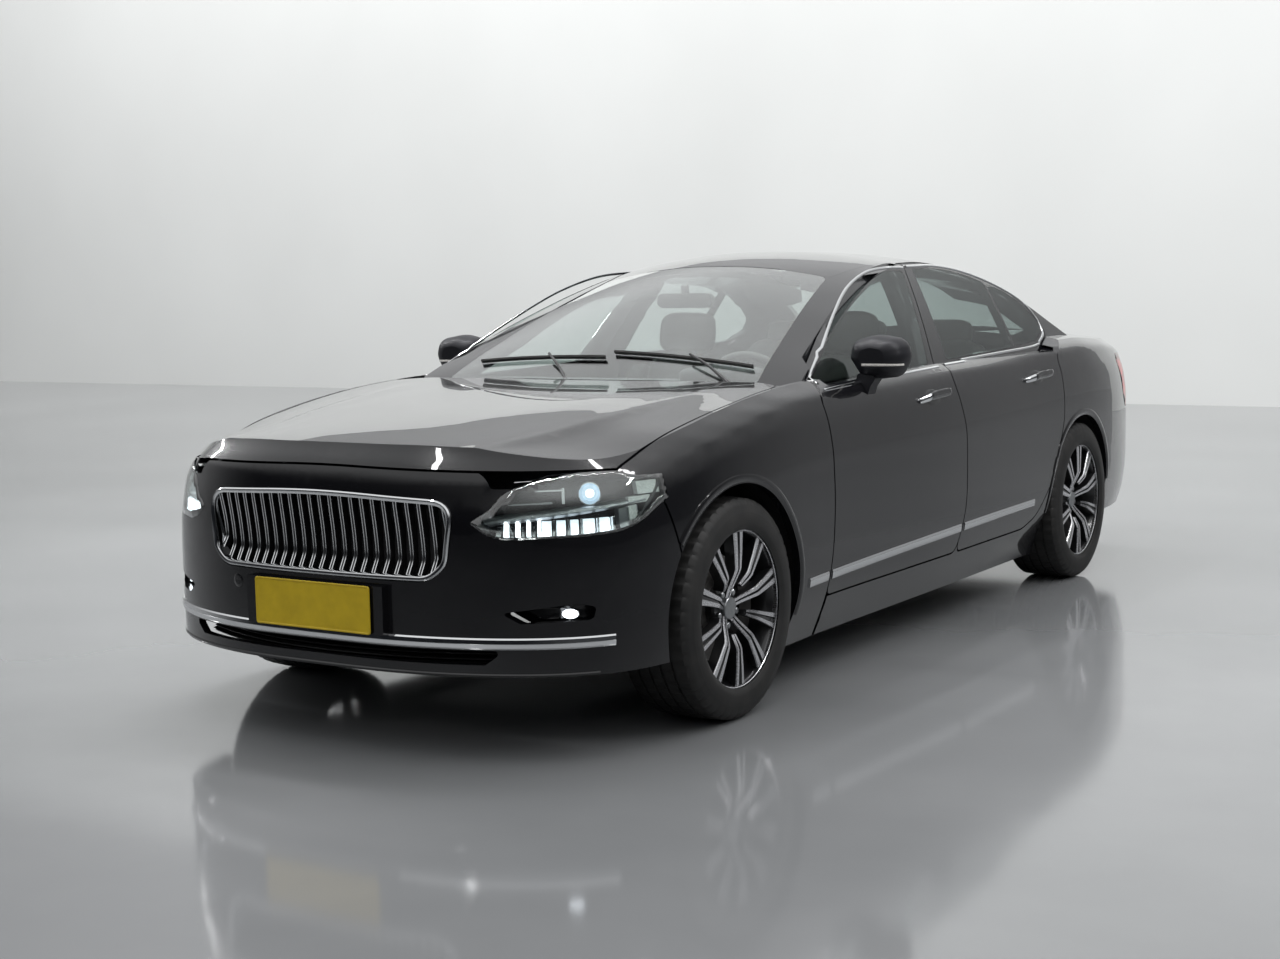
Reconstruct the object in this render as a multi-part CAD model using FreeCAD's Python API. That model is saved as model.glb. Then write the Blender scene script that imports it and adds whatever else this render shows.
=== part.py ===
import FreeCAD, Part
import math
import os

# A four-door sedan car in millimetres.
# The front of the car points along -Y, its own left side is +X, and +Z is up.
# The origin lies on the ground, in the middle of the car's length and width.

V = FreeCAD.Vector

# Overall driving dimensions
FRONT_AXLE_Y = -1667
WHEELBASE = 3061
WHEEL_X = 806
TYRE_RADIUS = 343.5
TYRE_WIDTH = 255
RIM_RADIUS = 248
GROUND_GAP = 150
PANEL = 26
SHUT_GAP = 7
GLASS = 6
SEAL = 0.3
SEAT_FIT = 0.3

# Where panels meet
BONNET_FRONT_Z = 836
BONNET_REAR_Y = -1165
BONNET_HALF = 795
BONNET_HINGE = (-1108, 955)
LID_FRONT_Y = 1815
LID_FRONT_GAP = 14
LID_HINGE = (1811.5, 1094)
LID_HINGE_X = 200
LID_PIN = 2
LID_EYE = 3
LID_HALF = 700
LID_BOTTOM_Z = 640
BELT_DOOR_Z = 1008
DOOR_BOTTOM_Z = 293
DOOR_FLANGE = 30
FRAME_LIP = 10
LEDGE = 16
FRAME_STEP = 12
DOOR_INNER_X = 800
FRAME_DEPTH = 38
HINGE_X = 918
HINGE_Y = {"front": -985, "rear": 130}
HINGE_HEIGHTS = {"front": (480, 720), "rear": (500, 740)}
HINGE_PIN = 4
HINGE_EYE = 8
HINGE_PLATE = 12
FENDER_REAR_Y = -1052
SPLIT_Z = 940

# Tow eye threads, jack pads and plate seats
TOW_X = -330
TOW_Z = 470
TOW_THREAD = 7
TOW_WAY = 20
JACK_Y = (-900, 850)
PLATE_HALF = 260
PLATE_HOLE = 3
PLATE_HOLE_X = 150
FRONT_PLATE_Z = (356, 496)
REAR_PLATE_Z = (715, 855)
FRONT_PLATE_Y = -2556
REAR_PLATE_Y = 2556

# Wheel housings
FRONT_ARCH = 385
REAR_ARCH = 376
HOUSING_CLEAR = 32
HOUSING_INNER_X = 492
LINER = 6
KINGPIN_X = 738
UPRIGHT = 150
ARM = 26

REAR_AXLE_Y = FRONT_AXLE_Y + WHEELBASE
AXLES = {"front": FRONT_AXLE_Y, "rear": REAR_AXLE_Y}
SIDES = {"left": 1, "right": -1}

# Plan line of the body at its widest height, front centre to rear centre
WAIST = [(0, -2538), (250, -2531), (450, -2494), (640, -2418), (780, -2312), (862, -2185), (905, -2020),
         (928, -1820), (935, -1600), (930, -1000), (934, 0), (934, 1000), (936, 1450), (918, 1850),
         (875, 2150), (800, 2345), (640, 2462), (380, 2522), (0, 2545)]

# Height of the shoulder edge along the car, as (y, z)
SHOULDER = [(-2560, 872), (-2430, 842), (-2320, 826), (-2200, 832), (-2080, 852), (-1900, 897), (-1600, 950),
            (-1300, 984), (-1000, 1000), (-600, 1004), (0, 1014), (740, 1033), (1240, 1053), (1500, 1056),
            (1800, 1042), (2100, 1018), (2340, 1000), (2560, 1000)]

# How far the side leans in, below the shoulder by the first value
SIDE_PROFILE = [(-400, 190), (-120, 176), (-40, 150), (0, 105), (30, 60), (75, 36), (155, 12), (260, 1),
                (420, 0), (540, 2), (620, 9), (690, 22), (760, 46), (830, 76), (1000, 140)]

# Centre line heights of the bonnet, waist and boot lid
LOWER_TOP = [(-2700, 860), (-2540, 878), (-2440, 893), (-2200, 925), (-1900, 956), (-1500, 983), (-1165, 1000),
             (-700, 1040), (0, 1062), (740, 1082), (1300, 1100), (1750, 1100), (1900, 1092), (2100, 1078),
             (2300, 1062), (2430, 1052), (2700, 1020)]

# Centre line heights of the windscreen, roof and rear window
UPPER_TOP = [(-1350, 850), (-1120, 985), (-900, 1112), (-700, 1212), (-500, 1300), (-350, 1354), (-190, 1402),
             (0, 1435), (200, 1449), (450, 1449), (750, 1431), (1050, 1387), (1300, 1318), (1550, 1218),
             (1800, 1100), (2000, 1000)]

# How far the windscreen, roof and rear window fall at 600 mm from the centre
UPPER_CROWN = [(-1350, 12), (-1080, 22), (-700, 55), (-400, 76), (-170, 84), (100, 72), (500, 64), (1000, 70),
               (1400, 78), (1800, 60), (2000, 50)]
CROWN_HALF = 600

# Side glass leans in by this much for each mm of height
LEAN_X = 1372
LEAN = 0.5595

# The bonnet's two creases: their distance from the centre, and how far the bonnet drops outside them
CREASE_LINE = [(-2700, 440), (-2500, 462), (-2100, 540), (-1600, 610), (-1165, 640), (2700, 640)]
CREASE_DROP = [(-2700, 3), (-2450, 6), (-2200, 12), (-1700, 12), (-1300, 4), (-1180, 0), (2700, 0)]
CREASE_WIDTH = 120

SHEET_HALF = 990


def smooth(points):
    """Monotone cubic through the points, as a function"""
    xs = [p[0] for p in points]
    ys = [p[1] for p in points]
    count = len(points)
    slopes = [(ys[i + 1] - ys[i]) / (xs[i + 1] - xs[i]) for i in range(count - 1)]
    tangents = [slopes[0]]
    for i in range(1, count - 1):
        before = slopes[i - 1]
        after = slopes[i]
        if before * after <= 0:
            tangents.append(0)
        else:
            left = xs[i] - xs[i - 1]
            right = xs[i + 1] - xs[i]
            tangents.append(3 * (left + right) / ((2 * right + left) / before + (right + 2 * left) / after))
    tangents.append(slopes[-1])

    def value(x):
        if x <= xs[0]:
            return ys[0] + tangents[0] * (x - xs[0])
        if x >= xs[-1]:
            return ys[-1] + tangents[-1] * (x - xs[-1])
        i = max(k for k in range(count - 1) if xs[k] <= x)
        step = xs[i + 1] - xs[i]
        t = (x - xs[i]) / step
        h00 = (1 + 2 * t) * (1 - t) ** 2
        h10 = t * (1 - t) ** 2
        h01 = t * t * (3 - 2 * t)
        h11 = t * t * (t - 1)
        return h00 * ys[i] + h10 * step * tangents[i] + h01 * ys[i + 1] + h11 * step * tangents[i + 1]

    return value


shoulder_z = smooth(SHOULDER)
side_inset = smooth(SIDE_PROFILE)
lower_top_z = smooth(LOWER_TOP)
upper_top_z = smooth(UPPER_TOP)
upper_crown = smooth(UPPER_CROWN)
crease_x = smooth(CREASE_LINE)
crease_drop = smooth(CREASE_DROP)


def spread(low, high, count):
    """Evenly spaced values from low to high"""
    return [low + (high - low) * i / (count - 1) for i in range(count)]


def chord_parameters(lines):
    """Shared parameters from 0 to 1 for lines of points, from their mean chord lengths"""
    count = len(lines[0])
    steps = [sum(line[i].distanceToPoint(line[i + 1]) for line in lines) for i in range(count - 1)]
    total = sum(steps)
    values = [0]
    for step in steps:
        values.append(values[-1] + step / total)
    values[-1] = 1
    return values


def surface(rows):
    """Smooth surface through rows of points, exact along its edges"""
    columns = [list(column) for column in zip(*rows)]
    across = chord_parameters(columns)
    along = chord_parameters(rows)
    lines = []
    for row in rows:
        line = Part.BSplineCurve()
        line.interpolate(Points=row, Parameters=along)
        lines.append(line)
    pole_rows = []
    for column in zip(*[line.getPoles() for line in lines]):
        line = Part.BSplineCurve()
        line.interpolate(Points=list(column), Parameters=across)
        pole_rows.append(line.getPoles())
    patch = Part.BSplineSurface()
    poles = [list(row) for row in zip(*pole_rows)]
    patch.buildFromPolesMultsKnots(poles, line.getMultiplicities(), lines[0].getMultiplicities(),
                                   line.getKnots(), lines[0].getKnots(), False, False, 3, 3)
    return patch


def sew(faces):
    """Closed solid from faces that meet at their edges"""
    group = Part.Compound(faces)
    group.sewShape()
    solid = Part.makeSolid(group.Shells[0])
    if solid.Volume < 0:
        solid.reverse()
    return solid


def waist_stations(count):
    """Points of the waist line and its outward normals, front centre round the left side to rear centre"""
    half = [V(x, y, 0) for x, y in WAIST]
    before = [V(-p.x, p.y, 0) for p in reversed(half[1:4])]
    after = [V(-p.x, p.y, 0) for p in reversed(half[-4:-1])]
    points = before + half + after
    parameters = chord_parameters([points])
    line = Part.BSplineCurve()
    line.interpolate(Points=points, Parameters=parameters)
    line.segment(parameters[len(before)], parameters[-1 - len(after)])
    stations = []
    for distance in spread(0, line.length(), count):
        parameter = line.parameterAtDistance(distance, line.FirstParameter)
        place = line.value(parameter)
        along = line.tangent(parameter)[0]
        stations.append((place, V(along.y, -along.x, 0)))
    return stations


STATIONS = waist_stations(50)
BAND_LEVELS = [150, 215, 260, 310, 370, 450, 540, 630, 710, 770, 815, 850, 880, 910, 935, 960, 985, 1010,
               1035, 1065, 1110, 1180]


def band(depth):
    """Solid inside the body's side surface, which runs all round the car, moved in by depth"""
    rows = []
    for z in BAND_LEVELS:
        half = []
        for place, normal in STATIONS:
            facing = abs(normal.y)
            inset = side_inset(shoulder_z(place.y) - z) * (1 - 0.35 * facing) + depth
            point = place - normal * inset
            half.append(V(point.x, point.y, z))
        half[0] = V(0, half[0].y, z)
        half[-1] = V(0, half[-1].y, z)
        other = [V(-p.x, p.y, z) for p in reversed(half[:-1])]
        rows.append(half + other)
    side = surface(rows)
    low, high = side.bounds()[0:2]
    caps = [Part.Face(Part.Wire([side.uIso(edge).toShape()])) for edge in (low, high)]
    return sew([side.toShape()] + caps)


def under_sheet(height, drop, y0=-2690, y1=2690, deep=900, columns=None):
    """Solid below a sheet given by its height over (x, y), moved down by drop"""
    rows = []
    for y in spread(y0, y1, round((y1 - y0) / 110)):
        places = columns(y) if columns else spread(-SHEET_HALF, SHEET_HALF, 15)
        rows.append([V(x, y, height(x, y) - drop) for x in places])
    return surface(rows).toShape().extrude(V(0, 0, -deep))


def crease_columns(y):
    """Places across the bonnet sheet, close together at its two creases"""
    at = crease_x(y)
    half = [at * 0.4, at * 0.75, at * 0.93, at, at + 22, at + 60, at + 120, 820, SHEET_HALF]
    return [-x for x in reversed(half)] + [0] + half


def lower_height(x, y):
    """Height of the bonnet, waist and boot sheet, raised between the two creases"""
    centre = lower_top_z(y)
    edge = shoulder_z(y) + 2
    base = centre - (centre - edge) * (abs(x) / 800) ** 2.6
    beyond = min(max((abs(x) - crease_x(y)) / CREASE_WIDTH, 0), 1)
    return base - crease_drop(y) * (1 - (1 - beyond) ** 2) * (1 - (abs(x) / 830) ** 8)


def upper_height(x, y):
    """Height of the windscreen, roof and rear window sheet"""
    return upper_top_z(y) - upper_crown(y) * (x / CROWN_HALF) ** 2


def lean_x(y, z):
    """How far out the side glass sheet is"""
    bow = 9 * (1 - ((z - 1190) / 190) ** 2)
    taper = 14 * ((y - 200) / 1200) ** 2
    return LEAN_X - LEAN * z + bow - taper


def inside_lean(depth, sign):
    """Solid inboard of one side glass sheet, moved in by depth"""
    rows = []
    for y in spread(-1280, 2060, 14):
        rows.append([V(sign * (lean_x(y, z) - depth), y, z) for z in spread(870, 1510, 7)])
    return surface(rows).toShape().extrude(V(-sign * 2200, 0, 0))


def under_roof(drop):
    """Solid below the windscreen, roof and rear window, moved down by drop"""
    return under_sheet(upper_height, drop, -1310, 1990, 560)


def cabin(depth, drop):
    """Solid of the glasshouse above the belt, moved in by depth and down by drop"""
    sides = inside_lean(depth, 1).common(inside_lean(depth, -1))
    return under_roof(drop).common(sides)


def box(x0, y0, z0, x1, y1, z1):
    """Block between two corners"""
    return Part.makeBox(x1 - x0, y1 - y0, z1 - z0, V(x0, y0, z0))


def mirror(shape):
    """The same shape on the car's other side"""
    return shape.mirror(V(0, 0, 0), V(1, 0, 0))


def place_point(plane, a, b, level):
    """Point from two values on a plane and its level along the third axis"""
    if plane == "yz":
        return V(level, a, b)
    if plane == "xz":
        return V(a, level, b)
    return V(a, b, level)


def outline(plane, corners, level=0):
    """Closed wire from (a, b, radius) corners, each rounded by its radius"""
    points = [V(a, b, 0) for a, b, _ in corners]
    count = len(points)
    starts = []
    ends = []
    for i in range(count):
        back = points[i - 1] - points[i]
        ahead = points[(i + 1) % count] - points[i]
        turn = math.pi - back.getAngle(ahead)
        reach = corners[i][2] * math.tan(turn / 2)
        reach = min(reach, 0.48 * back.Length, 0.48 * ahead.Length)
        starts.append(points[i] + back.normalize() * reach)
        ends.append(points[i] + ahead.normalize() * reach)
    edges = []
    for i in range(count):
        a, b = starts[i], ends[i]
        if a.distanceToPoint(b) > 0.01:
            middle = arc_middle(a, points[i], b)
            ring = [place_point(plane, p.x, p.y, level) for p in (a, middle, b)]
            if middle.distanceToPoint((a + b) * 0.5) > 1e-4:
                edges.append(Part.Arc(*ring).toShape())
            else:
                edges.append(Part.LineSegment(ring[0], ring[2]).toShape())
        nxt = starts[(i + 1) % count]
        if b.distanceToPoint(nxt) > 0.01:
            edges.append(Part.LineSegment(place_point(plane, b.x, b.y, level),
                                          place_point(plane, nxt.x, nxt.y, level)).toShape())
    return Part.Wire(edges)


def arc_middle(start, corner, end):
    """Middle of the arc that touches both legs of a corner at start and end"""
    chord = (start + end) * 0.5
    leg = start.distanceToPoint(corner)
    half = start.distanceToPoint(end) / 2
    to_corner = corner.distanceToPoint(chord)
    if to_corner < 1e-6:
        return chord
    radius = leg * half / to_corner
    centre_distance = math.sqrt(radius * radius + leg * leg)
    share = (centre_distance - radius) / to_corner
    return corner + (chord - corner) * share


def grow(wire, amount):
    """Wire moved outward in its plane by amount, inward where it is negative"""
    if amount == 0:
        return wire
    return wire.makeOffset2D(amount)


def prism(wire, start, end):
    """Solid swept from a flat wire, between two levels across its plane"""
    face = Part.Face(wire)
    normal = face.normalAt(0, 0)
    axis = V(abs(round(normal.x)), abs(round(normal.y)), abs(round(normal.z)))
    moved = face.translated(axis * start)
    return moved.extrude(axis * (end - start))


def cylinder_x(radius, y, z, x0, x1):
    """Round bar along X"""
    return Part.makeCylinder(radius, abs(x1 - x0), V(min(x0, x1), y, z), V(1, 0, 0))


def biggest(shape):
    """Largest solid of a shape"""
    return max(shape.Solids, key=lambda s: s.Volume)


# Main forms that the panels are cut from
LOWER_SHEET = under_sheet(lower_height, 0, columns=crease_columns)
LOWER_SHEET_IN = under_sheet(lower_height, PANEL, columns=crease_columns)
BODY = band(0).common(LOWER_SHEET)
BODY_IN = band(PANEL).common(LOWER_SHEET_IN)
CABIN = cabin(0, 0)
CABIN_IN = cabin(FRAME_DEPTH, FRAME_DEPTH)

# Door outlines in side view
B_LINE = [(24, 293, 35), (78, 480, 500), (80, 740, 400), (18, 955, 250), (238, 1384, 14)]
FRONT_DOOR = [(-1058, 293, 25)] + B_LINE + [(60, 1384, 900), (-190, 1356, 1200), (-560, 1226, 2500),
                                            (-985, 1002, 70), (-1045, 940, 60), (-1045, 860, 400),
                                            (-1030, 600, 900)]
REAR_DOOR_BACK = [(1376, 1148, 60), (1376, 1072, 25), (1240, 1030, 120), (1150, 985, 60), (1150, 720, 160),
                  (1030, 480, 420), (880, 330, 140), (760, 293, 200)]
REAR_DOOR_TOP = [(520, 1392, 1500), (970, 1334, 1200), (1290, 1230, 260)]

# Side window outlines in side view
FRONT_GLASS = [(-991, 979, 14), (-700, 990, 3000), (-4, 1008, 10), (205, 1361, 14), (60, 1362, 900),
               (-185, 1336, 1200), (-555, 1203, 2500)]
REAR_GLASS = [(183, 1016, 10), (925, 1034, 10), (955, 1308, 10), (740, 1352, 1500), (520, 1370, 1500),
              (302, 1368, 14)]
QUARTER_GLASS = [(948, 1036, 10), (1236, 1052, 100), (1348, 1094, 22), (1346, 1148, 40), (1180, 1256, 500),
                 (978, 1302, 10)]


def rear_front_line():
    """Front edge of the rear door, one shut gap behind the front door"""
    return [(y + SHUT_GAP, z, r) for y, z, r in B_LINE]


def door_outline(which):
    """Outer edge of a door in side view"""
    if which == "front":
        return outline("yz", FRONT_DOOR)
    corners = rear_front_line() + REAR_DOOR_TOP + REAR_DOOR_BACK
    return outline("yz", corners)


def door_windows(which, margin):
    """Prisms of a door's window holes on the left side, grown by margin"""
    shapes = [FRONT_GLASS] if which == "front" else [REAR_GLASS, QUARTER_GLASS]
    return [prism(grow(outline("yz", corners), margin), 300, 1100) for corners in shapes]


def door(which):
    """Left door: outer skin over the whole outline, inner box below the belt, frame round the window"""
    edge = door_outline(which)
    whole = prism(edge, 300, 1100)
    stepped = prism(grow(edge, -FRAME_STEP), 300, 1100)
    below = box(DOOR_INNER_X, -1300, 0, 1100, 1500, BELT_DOOR_Z)
    skin = BODY.common(whole.common(below)).cut(BODY_IN)
    inner = BODY.common(prism(grow(edge, -DOOR_FLANGE), 300, 1100)).common(below)
    belt = BODY.common(stepped).common(box(DOOR_INNER_X - 12, -1300, SPLIT_Z, 1100, 1500, BELT_DOOR_Z))
    above = box(300, -1300, SPLIT_Z + 8, 1100, 1500, 1500)
    lip = CABIN.common(whole.common(above)).cut(inside_lean(FRAME_LIP, 1))
    frame = CABIN.common(inside_lean(FRAME_LIP, 1)).common(stepped.common(above)).cut(inside_lean(FRAME_DEPTH, 1))
    result = skin.fuse([inner, belt, frame, lip])
    for window in door_windows(which, 0):
        result = result.cut(window)
    result = result.cut(hinge_slots(which))
    return biggest(result.removeSplitter())


def hinge_slots(which):
    """Room in a door for its two hinge plates and pins"""
    y = HINGE_Y[which]
    cuts = []
    for z in HINGE_HEIGHTS[which]:
        half = HINGE_PLATE / 2 + SEAL
        cuts.append(box(600, y - 110, z - half, HINGE_X + HINGE_EYE + SEAL, y + HINGE_EYE + 4, z + half))
        cuts.append(Part.makeCylinder(HINGE_PIN + SEAL, 44, V(HINGE_X, y, z - 22)))
    return cuts


def hinge_plates(which):
    """Two hinge plates with their pins, standing out from the pillar"""
    y = HINGE_Y[which]
    plates = []
    for z in HINGE_HEIGHTS[which]:
        low = z - HINGE_PLATE / 2
        plates.append(box(770, y - HINGE_EYE, low, HINGE_X, y + HINGE_EYE, low + HINGE_PLATE))
        plates.append(Part.makeCylinder(HINGE_EYE, HINGE_PLATE, V(HINGE_X, y, low)))
        plates.append(Part.makeCylinder(HINGE_PIN, 40, V(HINGE_X, y, z - 20)))
    return plates


def door_glass(which):
    """Left window panes of a door"""
    panes = []
    for pane in door_windows(which, -SEAL):
        panes.append(biggest(CABIN.common(pane).cut(inside_lean(GLASS, 1))))
    return Part.Compound(panes)


MIRROR_EDGE = [(806, 1062, 24), (818, 1122, 40), (900, 1142, 120), (1000, 1126, 50), (1018, 1060, 60),
               (984, 996, 50), (860, 984, 50)]
MIRROR_CENTRE = (908, 1062)
MIRROR_SECTIONS = [(-600, 0.97), (-612, 1.0), (-650, 0.99), (-682, 0.9), (-704, 0.72), (-716, 0.46)]


def mirror_housing(panel):
    """Left outside mirror: a rounded shell on a foot that stands on the door"""
    sections = []
    for y, size in MIRROR_SECTIONS:
        corners = [(MIRROR_CENTRE[0] + (x - MIRROR_CENTRE[0]) * size, MIRROR_CENTRE[1] + (z - MIRROR_CENTRE[1]) * size,
                    r * size) for x, z, r in MIRROR_EDGE]
        sections.append(outline("xz", corners, y))
    head = Part.makeLoft(sections, True)
    foot = prism(outline("xz", [(840, 925, 5), (886, 925, 5), (900, 965, 30), (925, 1000, 10), (850, 1010, 10),
                                (845, 970, 30)]), -700, -640)
    return biggest(head.fuse(foot).cut(panel))


def arches(extra=0):
    """Wheel openings through the side panels, both axles and both sides"""
    holes = []
    for axle, y in AXLES.items():
        radius = (FRONT_ARCH if axle == "front" else REAR_ARCH) + extra
        holes.append(cylinder_x(radius, y, TYRE_RADIUS, -1100, 1100))
    return holes


def housings():
    """Inner room of the wheel housings, wider than the openings behind the skin"""
    rooms = []
    for axle, y in AXLES.items():
        radius = (FRONT_ARCH if axle == "front" else REAR_ARCH) + HOUSING_CLEAR
        inner = HOUSING_INNER_X if axle == "front" else 640
        for sign in (1, -1):
            rooms.append(cylinder_x(radius, y, TYRE_RADIUS, sign * inner, sign * 903))
    return rooms


def body_side():
    """Left body side: sill, pillars, roof rail and rear quarter round the two doors"""
    region = box(300, -1040, GROUND_GAP, 1100, 2050, 1100)
    quarter_back = box(300, 1000, GROUND_GAP, 1100, 2700, 1100)
    outer = BODY.common(region.fuse(quarter_back))
    outer = outer.cut(BODY_IN)
    outer = outer.cut(box(-1, -1500, DOOR_BOTTOM_Z, 1100, -900, 1100))
    outer = outer.cut(prism(outline("yz", [(1780, 560, 0), (3000, 560, 0), (3000, 0, 0), (1780, 0, 0)]), 0, 1100))
    outer = outer.cut(box(0, LID_FRONT_Y - LID_FRONT_GAP, 500, LID_HALF + SHUT_GAP, 2700, 1300))
    outer = outer.cut(tail_lamp_zone(SEAL))
    outer = outer.cut(CABIN_IN.common(box(0, -1100, 880, 1000, 1255, 1300)))
    frame = CABIN.common(box(302, -1120, 960, 1100, LID_FRONT_Y - LID_FRONT_GAP, 1500)).cut(CABIN_IN)
    frame = frame.cut(prism(ROOF_EDGE, 0, 2000))
    shape = outer.fuse(frame)
    shape = shape.cut(prism(grow(WINDSCREEN_EDGE, SEAL), 0, 2000))
    shape = shape.cut(prism(grow(REAR_WINDOW_EDGE, SEAL), 0, 2000))
    room = inside_lean(FRAME_DEPTH + SHUT_GAP, 1)
    for which in ("front", "rear"):
        hole = prism(grow(door_outline(which), SHUT_GAP), 300, 1100)
        shape = shape.cut(hole.cut(room))
    shape = shape.fuse(inner_posts() + hinge_plates("front") + hinge_plates("rear"))
    shape = shape.cut(arches() + housings())
    shape = shape.cut(box(300, -1130, 900, 690, -1030, 975))
    return biggest(shape.removeSplitter())


def lid_ledge():
    """Ledge under the side edge of the boot lid, where its seal rests"""
    ledge = box(LID_HALF - 30, LID_FRONT_Y + 60, 960, LID_HALF + 60, 2300, 1200)
    top = ledge.common(BODY).common(LOWER_SHEET_IN.translated(V(0, 0, -SEAL)))
    return top.cut(LOWER_SHEET_IN.translated(V(0, 0, -LEDGE)))


# Everything below the roof rail, in side view
RAIL_UNDER = [(-1130, 600, 0), (-1130, 880, 0), (-991, 932, 200), (-767, 1050, 900), (-559, 1160, 900),
              (-360, 1245, 900), (-139, 1298, 900), (66, 1322, 900), (261, 1330, 900), (514, 1325, 900),
              (747, 1308, 900), (967, 1270, 900), (1172, 1205, 900), (1290, 1140, 0), (1290, 600, 0)]


def cant_rail():
    """Rail under the roof's edge, from the screen pillar to the rear pillar"""
    outer = inside_lean(FRAME_DEPTH + SHUT_GAP, 1).common(under_roof(PANEL + SEAL))
    inner = inside_lean(FRAME_DEPTH + 48, 1).common(under_roof(PANEL + 44))
    rail = outer.cut(inner).common(box(380, -1100, 940, 1000, 1260, 1500))
    rail = rail.cut(prism(outline("yz", RAIL_UNDER), 300, 1100))
    return rail.cut(prism(grow(WINDSCREEN_EDGE, 3), 0, 2000))


def inner_posts():
    """Sill box, hinge pillar, centre pillar and lock pillar behind the doors"""
    top = DOOR_BOTTOM_Z - SHUT_GAP
    sill = BODY.common(box(700, FENDER_REAR_Y + SHUT_GAP, 215, 1100, 1000, top))
    sill_end = BODY_IN.common(box(700, -1240, 215, 1100, FENDER_REAR_Y + SHUT_GAP, top))
    step = box(700, -1040, 240, 798, 940, DOOR_BOTTOM_Z + 20)
    hinge = box(700, -1130, 260, 785, -950, 935)
    centre = box(712, 20, 260, 780, 190, 930)
    neck = box(712, 20, 930, 746, 190, 1004)
    pads = [box(740, y - 50, 205, 820, y + 50, 215) for y in JACK_Y]
    lock = BODY_IN.common(prism(outline("yz", [(1196, 640, 20), (1196, 1000, 20), (1400, 1050, 20), (1440, 700, 20)]),
                                720, 1000))
    rail = prism(outline("yz", [(30, 960, 10), (190, 960, 10), (300, 1372, 10), (170, 1372, 10)]), 300, 1100)
    upper = inside_lean(FRAME_DEPTH + 34, 1).common(rail).cut(inside_lean(FRAME_DEPTH + 62, 1))
    upper = upper.common(under_roof(PANEL + SEAL))
    return [sill, sill_end, step, hinge, centre, neck, lock, upper, lid_ledge(), cant_rail()] + pads


ROOF_EDGE = outline("xy", [(-500, -205, 40), (0, -232, 1500), (500, -205, 40), (548, 200, 1500), (545, 700, 1500),
                           (470, 1150, 60), (0, 1190, 2500), (-470, 1150, 60), (-545, 700, 1500), (-548, 200, 1500)])
WINDSCREEN_EDGE = outline("xy", [(-655, -1072, 30), (0, -1100, 4000), (655, -1072, 30), (492, -210, 40),
                                 (0, -237, 1500), (-492, -210, 40)])
REAR_WINDOW_EDGE = outline("xy", [(-455, 1160, 50), (0, 1200, 2500), (455, 1160, 50), (590, 1740, 90),
                                  (0, 1800, 1800), (-590, 1740, 90)])


def sheet_panel(edge, thickness, level=0):
    """Panel of the roof and window sheet inside an edge given in plan"""
    lump = CABIN.common(prism(edge, level, 2000))
    return biggest(lump.cut(under_roof(thickness)))


BONNET_CORNERS = [(-BONNET_HALF, -2640, 5), (BONNET_HALF, -2640, 5), (BONNET_HALF + 6, -2100, 800),
                  (BONNET_HALF + 22, -1500, 2500), (BONNET_HALF + 5, -1180, 200), (690, -1120, 60),
                  (0, BONNET_REAR_Y, 4500), (-690, -1120, 60), (-BONNET_HALF - 5, -1180, 200),
                  (-BONNET_HALF - 22, -1500, 2500), (-BONNET_HALF - 6, -2100, 800)]


def nose_cut(shift):
    """Everything above the bonnet's front edge, as a prism along Y"""
    corners = [(-1000, 1300, 5), (-1000, 814, 5), (-700, 820, 900), (0, BONNET_FRONT_Z, 6000), (700, 820, 900),
               (1000, 814, 5), (1000, 1300, 5)]
    moved = [(x, z + (shift if z < 1200 else 0), r) for x, z, r in corners]
    return prism(outline("xz", moved), -2700, -1000)


def bonnet():
    """Bonnet skin with its folded edge and two hinge ears"""
    zone = prism(outline("xy", BONNET_CORNERS), 0, 1500).common(nose_cut(0))
    shape = biggest(BODY.common(zone).cut(BODY_IN))
    y, z = BONNET_HINGE
    ear = outline("yz", [(y - 70, z + 20, 4), (y - 70, z - 12, 12), (y + 4, z - 12, 6), (y + 12, z, 8), (y, z + 12, 8)])
    for sign in (1, -1):
        shape = shape.fuse(prism(ear, sign * 600 - 6, sign * 600 + 6))
        shape = shape.cut(cylinder_x(6 + SEAL, y, z, sign * 600 - 20, sign * 600 + 20))
    return shape


def bonnet_hole():
    """Room for the bonnet with its shut gap"""
    return prism(grow(outline("xy", BONNET_CORNERS), SHUT_GAP), 0, 1500).common(nose_cut(-SHUT_GAP))


FENDER_SPLIT = [(-2420, 1300, 5), (-2420, 780, 5), (-2060, 770, 5), (-1985, 560, 5), (-1985, 0, 5)]


def fender():
    """Left front wing between bonnet, door, bumper and sill"""
    corners = FENDER_SPLIT + [(FENDER_REAR_Y, 0, 5), (FENDER_REAR_Y - 12, 260, 5), (FENDER_REAR_Y - 12, 293, 40),
                              (-1038, 600, 900), (-1052, 860, 400), (-1052, 944, 60), (-1010, 1006, 20),
                              (-1010, 1300, 5)]
    zone = prism(outline("yz", corners), 300, 1100)
    shape = BODY.common(zone).cut(BODY_IN)
    shape = shape.cut(bonnet_hole())
    shape = shape.cut(arches())
    shape = shape.cut(lamp_zone(SEAL))
    shape = shape.cut(inside_lean(-SEAL, 1).common(box(300, -1130, 900, 1000, -990, 1100)))
    shape = shape.cut(box(300, BONNET_REAR_Y - 20, 900, 806, -990, 1100))
    return biggest(shape)


LAMP = [(508, 680, 8), (560, 716, 60), (592, 762, 60), (655, 790, 120), (730, 812, 200), (800, 812, 60),
        (840, 796, 60), (905, 788, 8), (894, 738, 300), (872, 668, 80), (846, 645, 60), (780, 638, 300),
        (600, 634, 60), (556, 648, 40)]
LAMP_BACK_Y = -2025


def lamp_zone(margin):
    """Left headlamp outline, seen from the front and swept back"""
    return prism(grow(outline("xz", LAMP), margin), -2700, LAMP_BACK_Y + margin)


def headlamp():
    """Left headlamp as one thick lens block behind the body line"""
    shape = BODY.common(lamp_zone(0)).cut(band(70))
    return biggest(shape)


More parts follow.
